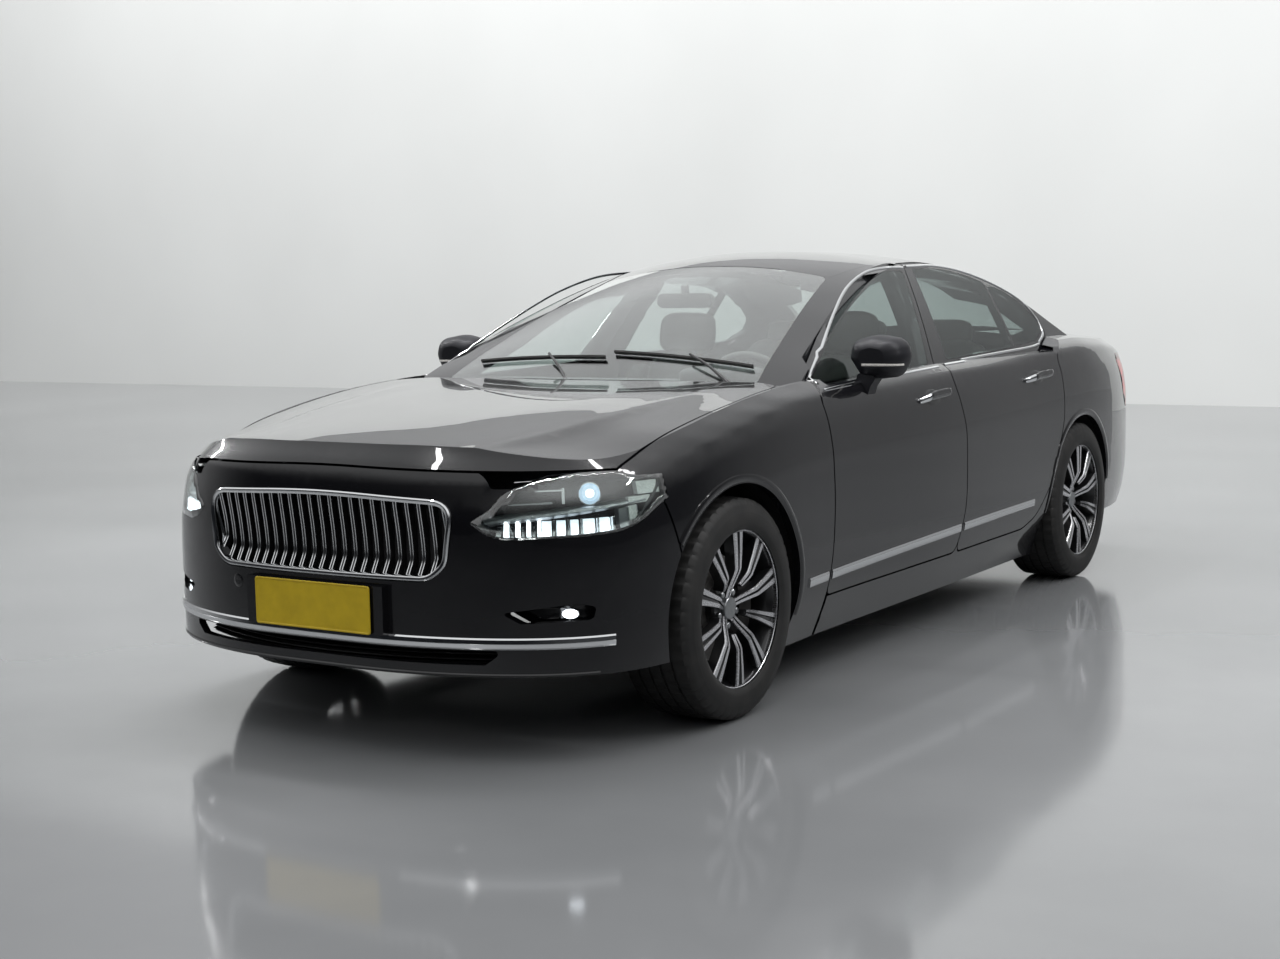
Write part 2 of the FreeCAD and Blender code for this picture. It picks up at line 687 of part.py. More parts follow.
GRILLE = [(-470, 742, 70), (0, 764, 4000), (470, 742, 70), (448, 560, 60), (392, 512, 90), (-392, 512, 90),
          (-448, 560, 60)]
GRILLE_FRAME = 15
GRILLE_DEPTH = 62
BAR_COUNT = 23
BAR_WIDTH = 12
BAR_SIDE = [(6, 780, 0), (32, 640, 200), (38, 566, 20), (14, 500, 0), (52, 500, 0), (52, 780, 0)]


def grille():
    """Chrome frame with upright bars that fall back and kink forward near their lower ends"""
    edge = outline("xz", GRILLE)
    frame = prism(edge, -2700, -2300).cut(prism(grow(edge, -GRILLE_FRAME), -2800, -2200))
    frame = band(-3).common(frame).cut(band(GRILLE_DEPTH))
    bar = prism(outline("yz", BAR_SIDE), -BAR_WIDTH / 2, BAR_WIDTH / 2)
    bars = []
    for i in range(BAR_COUNT):
        x = -448 + 896 * (i + 0.5) / BAR_COUNT
        bow = 48 * (abs(x) / 470) ** 2.4
        bars.append(bar.translated(V(x, -2538 + bow, 0)))
    zone = prism(grow(edge, -GRILLE_FRAME + 4), -2700, -2300)
    bars = band(2).common(Part.Compound(bars)).common(zone).cut(band(GRILLE_DEPTH))
    shape = frame.fuse(bars.Solids)
    return biggest(shape.removeSplitter())


INTAKE = [(-600, 322, 10), (600, 322, 10), (545, 280, 12), (-545, 280, 12)]
FOG_RECESS = [(590, 428, 6), (770, 452, 10), (806, 440, 12), (800, 404, 12), (640, 398, 10)]


def plate_seat(face_y, levels):
    """Flat seat for a plate, with two screw holes, between two heights"""
    back = face_y * 0.97
    seat_block = box(-PLATE_HALF, min(face_y, back), levels[0], PLATE_HALF, max(face_y, back), levels[1])
    holes = [Part.makeCylinder(PLATE_HOLE, 5400, V(sign * PLATE_HOLE_X, -2700, sum(levels) / 2), V(0, 1, 0))
             for sign in (1, -1)]
    return seat_block, holes


def tow_way():
    """Way through the bumpers to the tow eye threads"""
    return Part.makeCylinder(TOW_WAY, 5400, V(TOW_X, -2700, TOW_Z), V(0, 1, 0))


def front_bumper():
    """Bumper skin round the nose, with grille, lamp and plate places"""
    zone = box(-1100, -2700, 245, 1100, -1985 - SHUT_GAP, 1000)
    corner = prism(outline("yz", [(-2700, 0, 5), (-2700, 1000, 5),
                                  (-2430, 1000, 5), (-2430, 774, 5), (-2060 - SHUT_GAP, 764, 5), (-1985 - SHUT_GAP, 560, 5),
                                  (-1985 - SHUT_GAP, 0, 5)]), -1100, 1100)
    shape = BODY.common(zone).common(corner).cut(BODY_IN)
    shape = shape.cut(bonnet_hole())
    shape = shape.cut(prism(grow(outline("xz", GRILLE), 1), -2700, -2300))
    for lamp in (lamp_zone(1), mirror(lamp_zone(1))):
        shape = shape.cut(lamp)
    shape = shape.cut(arches())
    shape = shape.cut(prism(outline("xz", INTAKE), -2700, -2300))
    for sign in (1, -1):
        recess = [(sign * x, z, r) for x, z, r in FOG_RECESS]
        shape = shape.cut(prism(outline("xz", recess), -2700, -2100))
    pad, holes = plate_seat(FRONT_PLATE_Y, FRONT_PLATE_Z)
    return biggest(shape.fuse(pad).cut(holes + [tow_way()]).removeSplitter())


def rear_bumper():
    """Bumper skin round the tail below the lid and lamps"""
    zone = box(-1100, 1780 + SEAL, 240, 1100, 2700, 560 - SEAL)
    shape = BODY.common(zone).cut(BODY_IN).cut(arches() + [tow_way()])
    return biggest(shape)


TAIL_LAMP = [(2020, 930, 20), (2060, 960, 30), (2420, 960, 5), (2420, 700, 5), (2150, 705, 40), (2090, 760, 80)]


def tail_lamp_zone(margin):
    """Left tail lamp outline, seen from the side"""
    return prism(grow(outline("yz", TAIL_LAMP), margin), LID_HALF + SHUT_GAP + 1 - margin, 1100)


def tail_lamp():
    """Left tail lamp block behind the body line"""
    return biggest(BODY.common(tail_lamp_zone(0)).cut(band(60)))


def boot_lid():
    """Boot lid with its drop to the bumper"""
    zone = box(-LID_HALF, LID_FRONT_Y, LID_BOTTOM_Z, LID_HALF, 2700, 1300)
    pad, holes = plate_seat(REAR_PLATE_Y, REAR_PLATE_Z)
    shape = BODY.common(zone).cut(BODY_IN).fuse(pad).cut(holes)
    y, z = LID_HINGE
    for sign in (1, -1):
        near = sign * (LID_HINGE_X + 2)
        far = sign * (LID_HINGE_X + 16)
        lug = cylinder_x(LID_EYE, y, z, near, far)
        arm = box(min(near, far), y, z - LID_EYE, max(near, far), LID_FRONT_Y + 4, z + 1)
        shape = shape.fuse([lug, arm]).cut(cylinder_x(LID_PIN + SEAL, y, z, near - sign * 5, far + sign * 5))
    return biggest(shape.removeSplitter())


def tail_panel():
    """Skin between the body sides under the boot lid"""
    zone = box(-LID_HALF - SHUT_GAP, 2000, 560, LID_HALF + SHUT_GAP, 2700, LID_BOTTOM_Z - SHUT_GAP)
    return biggest(BODY.common(zone).cut(BODY_IN))


def floor_pan():
    """Floor with tunnel, bulkhead, front and rear rails, rear seat step and boot floor"""
    floor = box(-700, -1200, 200, 700, 1000, 216)
    tunnel = box(-115, -1180, 216, 115, 980, 330)
    bulkhead = box(-690, -1200, 200, 690, -1182, 925)
    rails = []
    for sign in (1, -1):
        rails.append(box(sign * 430 - 45, -2330, 420, sign * 430 + 45, -1182, 530))
        rails.append(box(sign * 560 - 45, 980, 330, sign * 560 + 45, 2300, 430))
    kick = box(-630, 980, 200, 630, 1000, 440)
    boot = box(-630, 980, 430, 630, 2380, 446)
    carrier = box(-475, -2350, 260, 475, -2318, 700)
    radiator_rail = box(-475, -2350, 700, 475, -2290, 760)
    back = box(-600, 2300, 300, 600, 2340, 600)
    bosses = [Part.makeCylinder(17, 60, V(TOW_X, -2350, TOW_Z), V(0, -1, 0)),
              Part.makeCylinder(17, 60, V(TOW_X, 2340, TOW_Z), V(0, 1, 0))]
    parts = [tunnel, bulkhead] + rails + [kick, boot, carrier, radiator_rail, back] + bosses
    shape = floor.fuse(parts)
    shape = shape.cut(box(-97, -1170, 190, 97, 1010, 312))
    shape = shape.cut(box(-640, 1290, 150, 640, 1500, 430))
    shape = shape.cut(Part.makeCylinder(TOW_THREAD, 5000, V(TOW_X, -2500, TOW_Z), V(0, 1, 0)))
    return biggest(shape.removeSplitter())


def cowl_panel():
    """Tray between the bonnet and the windscreen, with the bonnet's hinge posts"""
    edge = outline("xy", [(-700, -1200, 10), (700, -1200, 10), (660, -1034, 10), (-660, -1034, 10)])
    tray = LOWER_SHEET.translated(V(0, 0, -62)).common(prism(edge, 925, 1100))
    y, z = BONNET_HINGE
    posts = []
    for sign in (1, -1):
        posts.append(box(sign * 618 - 6, y - 12, 925, sign * 618 + 6, y + 12, z + 10))
        posts.append(cylinder_x(6, y, z, sign * 592, sign * 624))
    return biggest(tray.fuse(posts).removeSplitter())


def dashboard():
    """Dashboard across the cabin below the windscreen"""
    section = [(-1060, 600, 20), (-1060, 900, 40), (-820, 985, 60), (-700, 980, 40), (-640, 860, 60), (-760, 640, 60)]
    return prism(outline("yz", section), -700 + SEAT_FIT, 700 - SEAT_FIT)


def centre_console():
    """Console between the front seats"""
    section = [(-757, 640, 20), (-560, 600, 60), (-100, 560, 60), (260, 560, 40), (260, 330 + SEAT_FIT, 10), (-757, 330 + SEAT_FIT, 10)]
    return prism(outline("yz", section), -110, 110)


def seat(centre, half, front, floor_z):
    """Seat cushion, back and headrest as one soft block"""
    cushion = outline("yz", [(front, floor_z + 60, 40), (front, floor_z + 330, 60), (front + 480, floor_z + 290, 30),
                             (front + 520, floor_z + 60, 40)])
    back = outline("yz", [(front + 440, floor_z + 200, 40), (front + 600, floor_z + 820, 50),
                          (front + 720, floor_z + 820, 50), (front + 600, floor_z + 180, 50)])
    head = outline("yz", [(front + 610, floor_z + 800, 10), (front + 630, floor_z + 990, 40),
                          (front + 720, floor_z + 990, 40), (front + 710, floor_z + 800, 10)])
    shape = prism(cushion, centre - half, centre + half)
    shape = shape.fuse([prism(back, centre - half + 20, centre + half - 20), prism(head, centre - 130, centre + 130)])
    return shape


def front_seats():
    """Both front seats with their rails on the floor"""
    seats = []
    for sign in (1, -1):
        rails = [box(sign * 370 + side * 170 - 15, -420, 216 + SEAT_FIT, sign * 370 + side * 170 + 15, 60, 290)
                 for side in (1, -1)]
        seats.append(seat(sign * 370, 240, -480, 216).fuse(rails))
    return Part.Compound(seats)


def rear_seat():
    """Rear bench across the cabin"""
    shape = prism(outline("yz", [(460, 330 + SEAT_FIT, 30), (460, 520, 60), (974, 500, 30), (974, 330 + SEAT_FIT, 30)]),
                  -620, 620)
    shape = shape.common(box(-620, 400, 0, 620, 980 - SEAT_FIT, 1000))
    back = prism(outline("yz", [(940, 446 + SEAT_FIT, 10), (940, 560, 20), (1100, 1060, 60), (1240, 1060, 40),
                                (1140, 446 + SEAT_FIT, 30)]), -590, 590)
    return shape.fuse(back)


def parcel_shelf():
    """Shelf under the rear window, with the strip between the glass and the lid"""
    edge = LID_FRONT_Y - LID_FRONT_GAP
    strip = BODY.common(box(-300, 1680, 900, 300, edge, 1200)).cut(BODY_IN)
    strip = strip.cut(prism(grow(REAR_WINDOW_EDGE, SEAL), 0, 2000))
    y, z = LID_HINGE
    hinges = []
    for sign in (1, -1):
        inner = sign * LID_HINGE_X
        hinges.append(cylinder_x(LID_EYE, y, z, inner - sign * 20, inner))
        hinges.append(cylinder_x(LID_PIN, y, z, inner - sign * 10, inner + sign * 16))
        hinges.append(box(min(inner, inner - sign * 20), edge - 8, z - LID_EYE, max(inner, inner - sign * 20), y, z))
    shelf = [box(-290, 1256, 1000, 290, edge, 1016), box(-290, edge - 16, 1000, 290, edge, 1080)]
    return biggest(strip.fuse(shelf + hinges))


def steering_wheel():
    """Ring, hub and spokes on the column, tilted back"""
    ring = Part.makeTorus(176, 15)
    hub = Part.makeCylinder(70, 40, V(0, 0, -20), V(0, 0, 1))
    bar = box(-176, -18, -8, 176, 18, 8)
    low = box(-16, -176, -8, 16, 0, 8)
    shape = ring.fuse([hub, bar, low])
    column = Part.makeCylinder(28, 190, V(0, 0, -200), V(0, 0, 1))
    shape = shape.fuse(column)
    shape.rotate(V(0, 0, 0), V(1, 0, 0), -65)
    shape.translate(V(370, -560, 905))
    return shape.cut(dashboard())


def inner_mirror():
    """Inside mirror under the windscreen"""
    shape = prism(outline("xz", [(-120, 1232, 25), (-120, 1288, 25), (120, 1288, 25), (120, 1232, 25)]), -440, -415)
    shape = shape.fuse(box(-12, -440, 1260, 12, -420, 1345))
    return shape.common(under_roof(GLASS + SEAL))


def engine_block():
    """Engine as one plain block"""
    block = box(-260, -2060, 330, 260, -1300, 850)
    return block.fuse([box(-385 + SEAT_FIT, -1760, 440, 385 - SEAT_FIT, -1680, 500)])


def tyre(axle_y, sign):
    """Tyre with rounded shoulders"""
    half = TYRE_WIDTH / 2
    section = [(-half + 8, RIM_RADIUS - 6, 4), (-half - 0, RIM_RADIUS + 22, 20), (-half - 0, TYRE_RADIUS - 46, 40),
               (-half + 24, TYRE_RADIUS - 5, 20), (0, TYRE_RADIUS, 1600), (half - 24, TYRE_RADIUS - 5, 20),
               (half - 0, TYRE_RADIUS - 46, 40), (half - 0, RIM_RADIUS + 22, 20), (half - 8, RIM_RADIUS - 6, 4)]
    ring = Part.Face(outline("xy", section)).revolve(V(0, 0, 0), V(1, 0, 0), 360)
    ring.translate(V(sign * WHEEL_X, axle_y, TYRE_RADIUS))
    return ring


SPOKES = 5
HUB_BORE = 32
LONG_SIDE = [(34, 30, 0), (72, 30, 4), (82, 60, 60), (107, 112, 20), (111, 124, 20), (111, 224, 0), (70, 224, 0),
             (66, 124, 40), (40, 80, 20)]
SHORT_SIDE = [(58, 80, 3), (91, 80, 4), (107, 112, 20), (111, 124, 20), (111, 224, 0), (70, 224, 0), (66, 124, 40)]


def wheel_spoke(side, low, low_half, high_half):
    """Spoke from its side profile, widening from the hub to the rim"""
    bar = prism(outline("xz", side), -40, 40)
    front = outline("yz", [(-low_half, low, 0), (-high_half, 224, 0), (high_half, 224, 0), (low_half, low, 0)])
    return bar.common(prism(front, 0, 200))


def rim():
    """Left wheel about the X axis at the origin, its face towards +X"""
    outer = RIM_RADIUS - 6 - SEAT_FIT
    barrel = outline("xy", [(-118, outer, 3), (-118, outer - 22, 6), (-60, outer - 30, 20), (60, outer - 26, 20),
                            (98, outer - 20, 10), (112, outer - 16, 3), (112, outer, 3), (80, outer - 2, 6),
                            (50, outer - 14, 20), (-50, outer - 14, 20), (-90, outer - 2, 6)])
    shape = Part.Face(barrel).revolve(V(0, 0, 0), V(1, 0, 0), 360)
    hub = cylinder_x(70, 0, 0, 28, 64).fuse(cylinder_x(34.5, 0, 0, 64, 83))
    long_spoke = wheel_spoke(LONG_SIDE, 30, 10.5, 25)
    short_spoke = wheel_spoke(SHORT_SIDE, 80, 8, 23)
    spokes = []
    for i in range(SPOKES):
        turn = 360 / SPOKES * i
        for bar, shift in ((long_spoke, 0), (short_spoke, 180 / SPOKES)):
            spokes.append(bar.rotated(V(0, 0, 0), V(1, 0, 0), -turn - shift))
    disc = cylinder_x(165, 0, 0, -4, 18).fuse(cylinder_x(95, 0, 0, -2, 32))
    shape = shape.fuse([hub, disc] + spokes)
    shape = shape.cut(cylinder_x(HUB_BORE, 0, 0, -40, 60))
    return biggest(shape.removeSplitter())


def knuckle():
    """Left front knuckle with its spindle and brake caliper, about the wheel centre"""
    pin = KINGPIN_X - WHEEL_X
    shape = Part.makeCylinder(22, 2 * UPRIGHT, V(pin, 0, -UPRIGHT))
    spindle = cylinder_x(HUB_BORE - 0.5, 0, 0, pin, 55)
    flange = cylinder_x(60, 0, 0, pin, pin + 30)
    shape = shape.fuse([spindle, flange])
    caliper = cylinder_x(192, 0, 0, -28, 44).cut(cylinder_x(118, 0, 0, -100, 100))
    caliper = caliper.cut(cylinder_x(171, 0, 0, -12, 26))
    caliper = caliper.common(box(-60, 60, -110, 60, 260, 110))
    bridge = box(-50, 20, -50, -28, 150, 50)
    return shape.fuse([caliper, bridge]).removeSplitter()


def axle_side(axle):
    """Left half of an axle about the wheel centre: two arms and the spring leg"""
    pin = KINGPIN_X - WHEEL_X
    inner = 400 - WHEEL_X
    low = -UPRIGHT - SEAL - ARM
    lower = box(inner, -24, low, pin + 20, 24, low + ARM)
    if axle == "front":
        upper = box(475 + SEAL - WHEEL_X, -24, UPRIGHT + SEAL, pin + 20, 24, UPRIGHT + SEAL + ARM)
        leg_top = 220
        rail_z = 420
        carrier = []
    else:
        upper = box(inner, -24, 40, pin + 20, 24, 40 + ARM)
        leg_top = 80
        rail_z = 430
        carrier = [box(pin - 22, -30, low, pin + 22, 30, 140), cylinder_x(HUB_BORE - 0.5, 0, 0, inner - 40, 55)]
    leg = Part.makeCylinder(34, leg_top - low, V(-250, 0, low))
    hanger = box(inner - 15, -24, low, inner + 25, 24, rail_z - SEAL - TYRE_RADIUS)
    return upper.fuse([lower, leg, hanger] + carrier)


def axle_set(axle):
    """Subframe, arms and shafts of one axle"""
    y = AXLES[axle]
    left = axle_side(axle).translated(V(WHEEL_X, 0, 0))
    if axle == "front":
        beam = [box(-400, -60, -185, 400, 60, -130)]
    else:
        beam = [box(-400, -60, -60, 400, 60, -10), cylinder_x(80, 0, 0, -450, 450)]
    shape = left.fuse([mirror(left)] + beam)
    shape.translate(V(0, y, TYRE_RADIUS))
    return biggest(shape.removeSplitter())


def exhaust():
    """Exhaust pipe with its rear silencer"""
    pipe = Part.makeCylinder(28, 2700, V(0, -700, 214), V(0, 1, 0))
    silencer = box(-420, 1900, 190, 420, 2180, 330 - SEAL)
    hangers = [box(-560, y - 12, 306, 560, y + 12, 330 - SEAL) for y in (1940, 2140)]
    return pipe.fuse([silencer] + hangers)


def wheel_liners():
    """Thin liners over the four wheels"""
    liners = []
    for axle, y in AXLES.items():
        radius = (FRONT_ARCH if axle == "front" else REAR_ARCH) + HOUSING_CLEAR
        inner = HOUSING_INNER_X + 8 if axle == "front" else 648
        for sign in (1, -1):
            shell = cylinder_x(radius - 1, y, TYRE_RADIUS, sign * inner, sign * 895)
            shell = shell.cut(cylinder_x(radius - 1 - LINER, y, TYRE_RADIUS, sign * (inner - 20), sign * 1000))
            shell = shell.common(box(-1000, y - 600, TYRE_RADIUS - 60, 1000, y + 600, 1200))
            liners.append(shell.common(BODY_IN))
    return Part.Compound(liners)


os.makedirs("parts", exist_ok=True)


def save(name, shape):
    """Write one piece"""
    shape.exportStep("parts/" + name + ".step")


def build():
    """Make every piece and write it"""
    save("floor_pan", floor_pan())
    side = body_side()
    save("body_side_left", side)
    save("body_side_right", mirror(side))
    save("roof_panel", sheet_panel(grow(ROOF_EDGE, -1), PANEL))
    save("windscreen", sheet_panel(WINDSCREEN_EDGE, GLASS))
    save("rear_window", sheet_panel(REAR_WINDOW_EDGE, GLASS))
    save("cowl_panel", cowl_panel())
    save("tail_panel", tail_panel())
    save("parcel_shelf", parcel_shelf())
    wing = fender()
    save("fender_left", wing)
    save("fender_right", mirror(wing))
    save("bonnet", bonnet())
    save("boot_lid", boot_lid())
    save("front_bumper", front_bumper())
    save("rear_bumper", rear_bumper())
    save("grille", grille())
    lamp = headlamp()
    save("headlamps", Part.Compound([lamp, mirror(lamp)]))
    lamp = tail_lamp()
    save("tail_lamps", Part.Compound([lamp, mirror(lamp)]))
    for which in ("front", "rear"):
        panel = door(which)
        if which == "front":
            housing = mirror_housing(panel)
            save("mirror_left", housing)
            save("mirror_right", mirror(housing))
        glass = door_glass(which)
        save("door_" + which + "_left", panel)
        save("door_" + which + "_right", mirror(panel))
        save("door_glass_" + which + "_left", glass)
        save("door_glass_" + which + "_right", mirror(glass))
    save("dashboard", dashboard())
    save("centre_console", centre_console())
    save("front_seats", front_seats())
    save("rear_seat", rear_seat())
    save("steering_wheel", steering_wheel())
    save("inner_mirror", inner_mirror())
    save("engine_block", engine_block())
    for axle in AXLES:
        save(axle + "_axle", axle_set(axle))
    save("exhaust", exhaust())
    save("wheel_liners", wheel_liners())
    wheel = rim()
    upright = knuckle().translated(V(WHEEL_X, FRONT_AXLE_Y, TYRE_RADIUS))
    save("knuckle_left", upright)
    save("knuckle_right", mirror(upright))
    for axle, y in AXLES.items():
        left = wheel.translated(V(WHEEL_X, y, TYRE_RADIUS))
        save("rim_" + axle + "_left", left)
        save("rim_" + axle + "_right", mirror(left))
        for side, sign in SIDES.items():
            save("tyre_" + axle + "_" + side, tyre(y, sign))


build()
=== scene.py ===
import bpy
import bmesh
import math
from mathutils import Matrix, Vector, noise
from mathutils.bvhtree import BVHTree


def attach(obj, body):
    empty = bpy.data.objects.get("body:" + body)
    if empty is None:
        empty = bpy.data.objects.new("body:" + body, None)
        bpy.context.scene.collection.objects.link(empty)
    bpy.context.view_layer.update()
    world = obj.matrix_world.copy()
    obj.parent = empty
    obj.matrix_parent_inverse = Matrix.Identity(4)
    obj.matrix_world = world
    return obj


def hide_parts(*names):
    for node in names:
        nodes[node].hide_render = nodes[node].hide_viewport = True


# A four-door sedan car in gloss black, seen from its front left corner.
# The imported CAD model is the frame, and the pieces below are fixed to its bodies.
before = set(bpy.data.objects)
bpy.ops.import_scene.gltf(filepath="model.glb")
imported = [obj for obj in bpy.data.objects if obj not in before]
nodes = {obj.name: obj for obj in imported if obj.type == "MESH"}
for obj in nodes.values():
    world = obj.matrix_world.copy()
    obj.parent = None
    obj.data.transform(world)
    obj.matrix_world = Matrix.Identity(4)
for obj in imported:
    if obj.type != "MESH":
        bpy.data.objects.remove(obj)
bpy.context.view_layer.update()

# Studio: a grey floor and a pale backdrop, three slim lamps overhead and a broad one for the backdrop.
# The camera stands at the photograph's place, low and in front of the car's left headlamp.
CAMERA_PLACE = (3.6866, -6.5735, 1.3489)
CAMERA_TURN = (0.5664, 0.1068, -0.0187)
CAMERA_LENS = 52.64
FLOOR_COLOUR = (0.19, 0.195, 0.20)
FLOOR_HALF = 30
BACKDROP_Y = 12
BACKDROP_RIGHT = 2.5
BACKDROP_TOP = 6.5
WALL_COLOUR = (0.72, 0.73, 0.72)

scene = bpy.context.scene
scene.view_settings.view_transform = "Standard"


def camera_matrix(place, turn):
    """Camera placed at a point, turned by azimuth, elevation and roll"""
    azimuth, elevation, roll = turn
    back = Vector((math.sin(azimuth) * math.cos(elevation), -math.cos(azimuth) * math.cos(elevation),
                   math.sin(elevation)))
    right = (-back).cross(Vector((0, 0, 1))).normalized()
    up = right.cross(-back)
    level_right = right * math.cos(roll) + up * math.sin(roll)
    level_up = up * math.cos(roll) - right * math.sin(roll)
    turned = Matrix((level_right, level_up, back)).transposed().to_4x4()
    return Matrix.Translation(place) @ turned


camera_data = bpy.data.cameras.new("camera")
camera_data.lens = CAMERA_LENS
camera_data.sensor_width = 36
camera_data.clip_end = 200
camera = bpy.data.objects.new("camera", camera_data)
camera.matrix_world = camera_matrix(Vector(CAMERA_PLACE), CAMERA_TURN)
scene.collection.objects.link(camera)
scene.camera = camera


def new_material(name):
    """Material with its node tree and its Principled shader"""
    material = bpy.data.materials.new(name)
    material.use_nodes = True
    tree = material.node_tree
    shader = tree.nodes["Principled BSDF"]
    return material, tree, shader


def set_values(shader, **values):
    """Plain numbers and colours on a shader's sockets, by name with spaces as underscores"""
    for name, value in values.items():
        socket = shader.inputs[name.replace("_", " ")]
        socket.default_value = (*value, 1.0) if isinstance(value, tuple) and len(value) == 3 else value


def group_socket(group, name, way, kind, value=None):
    """New socket of a node group, with its usual value"""
    item = group.interface.new_socket(name=name, in_out=way, socket_type=kind)
    if value is not None:
        item.default_value = value


def noise_in_group(group, entry):
    """Noise over the object's own coordinates, in metres, for a node group with Scale, Detail and Stretch"""
    place = group.nodes.new("ShaderNodeTexCoord")
    stretch = group.nodes.new("ShaderNodeVectorMath")
    stretch.operation = "MULTIPLY"
    noise_texture = group.nodes.new("ShaderNodeTexNoise")
    group.links.new(place.outputs["Object"], stretch.inputs[0])
    group.links.new(entry.outputs["Stretch"], stretch.inputs[1])
    group.links.new(stretch.outputs[0], noise_texture.inputs["Vector"])
    group.links.new(entry.outputs["Scale"], noise_texture.inputs["Scale"])
    group.links.new(entry.outputs["Detail"], noise_texture.inputs["Detail"])
    return noise_texture.outputs["Fac"]


# The colour mix node's sockets go by number, as several share a name.
MIX_FIRST, MIX_SECOND, MIX_RESULT = 6, 7, 2
NOISE_INPUTS = [("Scale", "NodeSocketFloat", 10.0), ("Detail", "NodeSocketFloat", 3.0),
                ("Stretch", "NodeSocketVector", (1, 1, 1))]


def effect_group(name, inputs, result, kind):
    """Shared effect's node group with its entry and exit nodes"""
    group = bpy.data.node_groups.new(name, "ShaderNodeTree")
    for socket, socket_kind, value in NOISE_INPUTS + inputs:
        group_socket(group, socket, "INPUT", socket_kind, value)
    group_socket(group, result, "OUTPUT", kind)
    return group, group.nodes.new("NodeGroupInput"), group.nodes.new("NodeGroupOutput")


# Shared effect: two colours mixed by a noise, which puts out a colour.
colours = [("Start", "NodeSocketFloat", 0.3), ("End", "NodeSocketFloat", 0.7),
           ("First", "NodeSocketColor", (0, 0, 0, 1)), ("Second", "NodeSocketColor", (1, 1, 1, 1))]
mottle_group, entry, leave = effect_group("mottle", colours, "Colour", "NodeSocketColor")
span = mottle_group.nodes.new("ShaderNodeMapRange")
blend = mottle_group.nodes.new("ShaderNodeMix")
blend.data_type = "RGBA"
for start, end in ((noise_in_group(mottle_group, entry), span.inputs["Value"]),
                   (entry.outputs["Start"], span.inputs["From Min"]),
                   (entry.outputs["End"], span.inputs["From Max"]),
                   (span.outputs["Result"], blend.inputs["Factor"]),
                   (entry.outputs["First"], blend.inputs[MIX_FIRST]),
                   (entry.outputs["Second"], blend.inputs[MIX_SECOND]),
                   (blend.outputs[MIX_RESULT], leave.inputs["Colour"])):
    mottle_group.links.new(start, end)

# Shared effect: fine relief from a noise, which puts out a normal.
heights = [("Strength", "NodeSocketFloat", 0.3), ("Distance", "NodeSocketFloat", 0.001)]
relief_group, entry, leave = effect_group("relief", heights, "Normal", "NodeSocketVector")
bump = relief_group.nodes.new("ShaderNodeBump")
relief_group.links.new(noise_in_group(relief_group, entry), bump.inputs["Height"])
relief_group.links.new(entry.outputs["Strength"], bump.inputs["Strength"])
relief_group.links.new(entry.outputs["Distance"], bump.inputs["Distance"])
relief_group.links.new(bump.outputs["Normal"], leave.inputs["Normal"])


def add_group(tree, group, values):
    """A shared effect's node in a material, with its values"""
    node = tree.nodes.new("ShaderNodeGroup")
    node.node_tree = group
    for name, value in values.items():
        socket = node.inputs[name]
        socket.default_value = (*value, 1.0) if socket.type == "RGBA" and len(value) == 3 else value
    return node


def mottled(tree, shader, socket, scale, start, first, end, second, detail=3.0, stretch=(1, 1, 1)):
    """Uneven colour, or uneven roughness as greys, on one of a shader's sockets"""
    values = {"Scale": scale, "Detail": detail, "Stretch": stretch, "Start": start, "End": end,
              "First": first, "Second": second}
    node = add_group(tree, mottle_group, values)
    tree.links.new(node.outputs["Colour"], shader.inputs[socket])


def relief(tree, shader, scale, strength, distance, detail=3.0):
    """Fine relief on a shader's normal"""
    node = add_group(tree, relief_group,
                     {"Scale": scale, "Detail": detail, "Strength": strength, "Distance": distance})
    tree.links.new(node.outputs["Normal"], shader.inputs["Normal"])


def surface(name, uneven, grain=None, socket="Base Color", **values):
    """Material with plain values, one uneven socket and, where it is given, a fine relief"""
    material, tree, shader = new_material(name)
    set_values(shader, **values)
    mottled(tree, shader, socket, *uneven)
    if grain:
        relief(tree, shader, *grain)
    return material


def staged(name, corners, material):
    """Flat four-sided piece of the studio"""
    mesh = bpy.data.meshes.new(name)
    mesh.from_pydata(corners, [], [(0, 1, 2, 3)])
    mesh.materials.append(material)
    piece = bpy.data.objects.new(name, mesh)
    scene.collection.objects.link(piece)


wall = surface("studio wall", (0.35, 0.3, (0.70, 0.71, 0.70), 0.7, (0.74, 0.75, 0.74)),
               Base_Color=WALL_COLOUR, Roughness=0.9)

ground = surface("studio floor", (0.6, 0.3, (0.165, 0.17, 0.175), 0.7, (0.215, 0.22, 0.225), 5.0),
                 Base_Color=FLOOR_COLOUR, Roughness=0.09)

far = FLOOR_HALF
staged("floor", [(-far, -far, 0), (far, -far, 0), (far, far, 0), (-far, far, 0)], ground)
near_end, top = BACKDROP_RIGHT, BACKDROP_TOP
staged("backdrop", [(-far, BACKDROP_Y, 0), (near_end, BACKDROP_Y, 0), (near_end, BACKDROP_Y, top),
                    (-far, BACKDROP_Y, top)], wall)

world = bpy.data.worlds.new("studio")
world.use_nodes = True
scene.world = world
background = world.node_tree.nodes["Background"]
background.inputs["Strength"].default_value = 0.9
sky_place = world.node_tree.nodes.new("ShaderNodeTexCoord")
sky_split = world.node_tree.nodes.new("ShaderNodeSeparateXYZ")
world.node_tree.links.new(sky_place.outputs["Generated"], sky_split.inputs["Vector"])


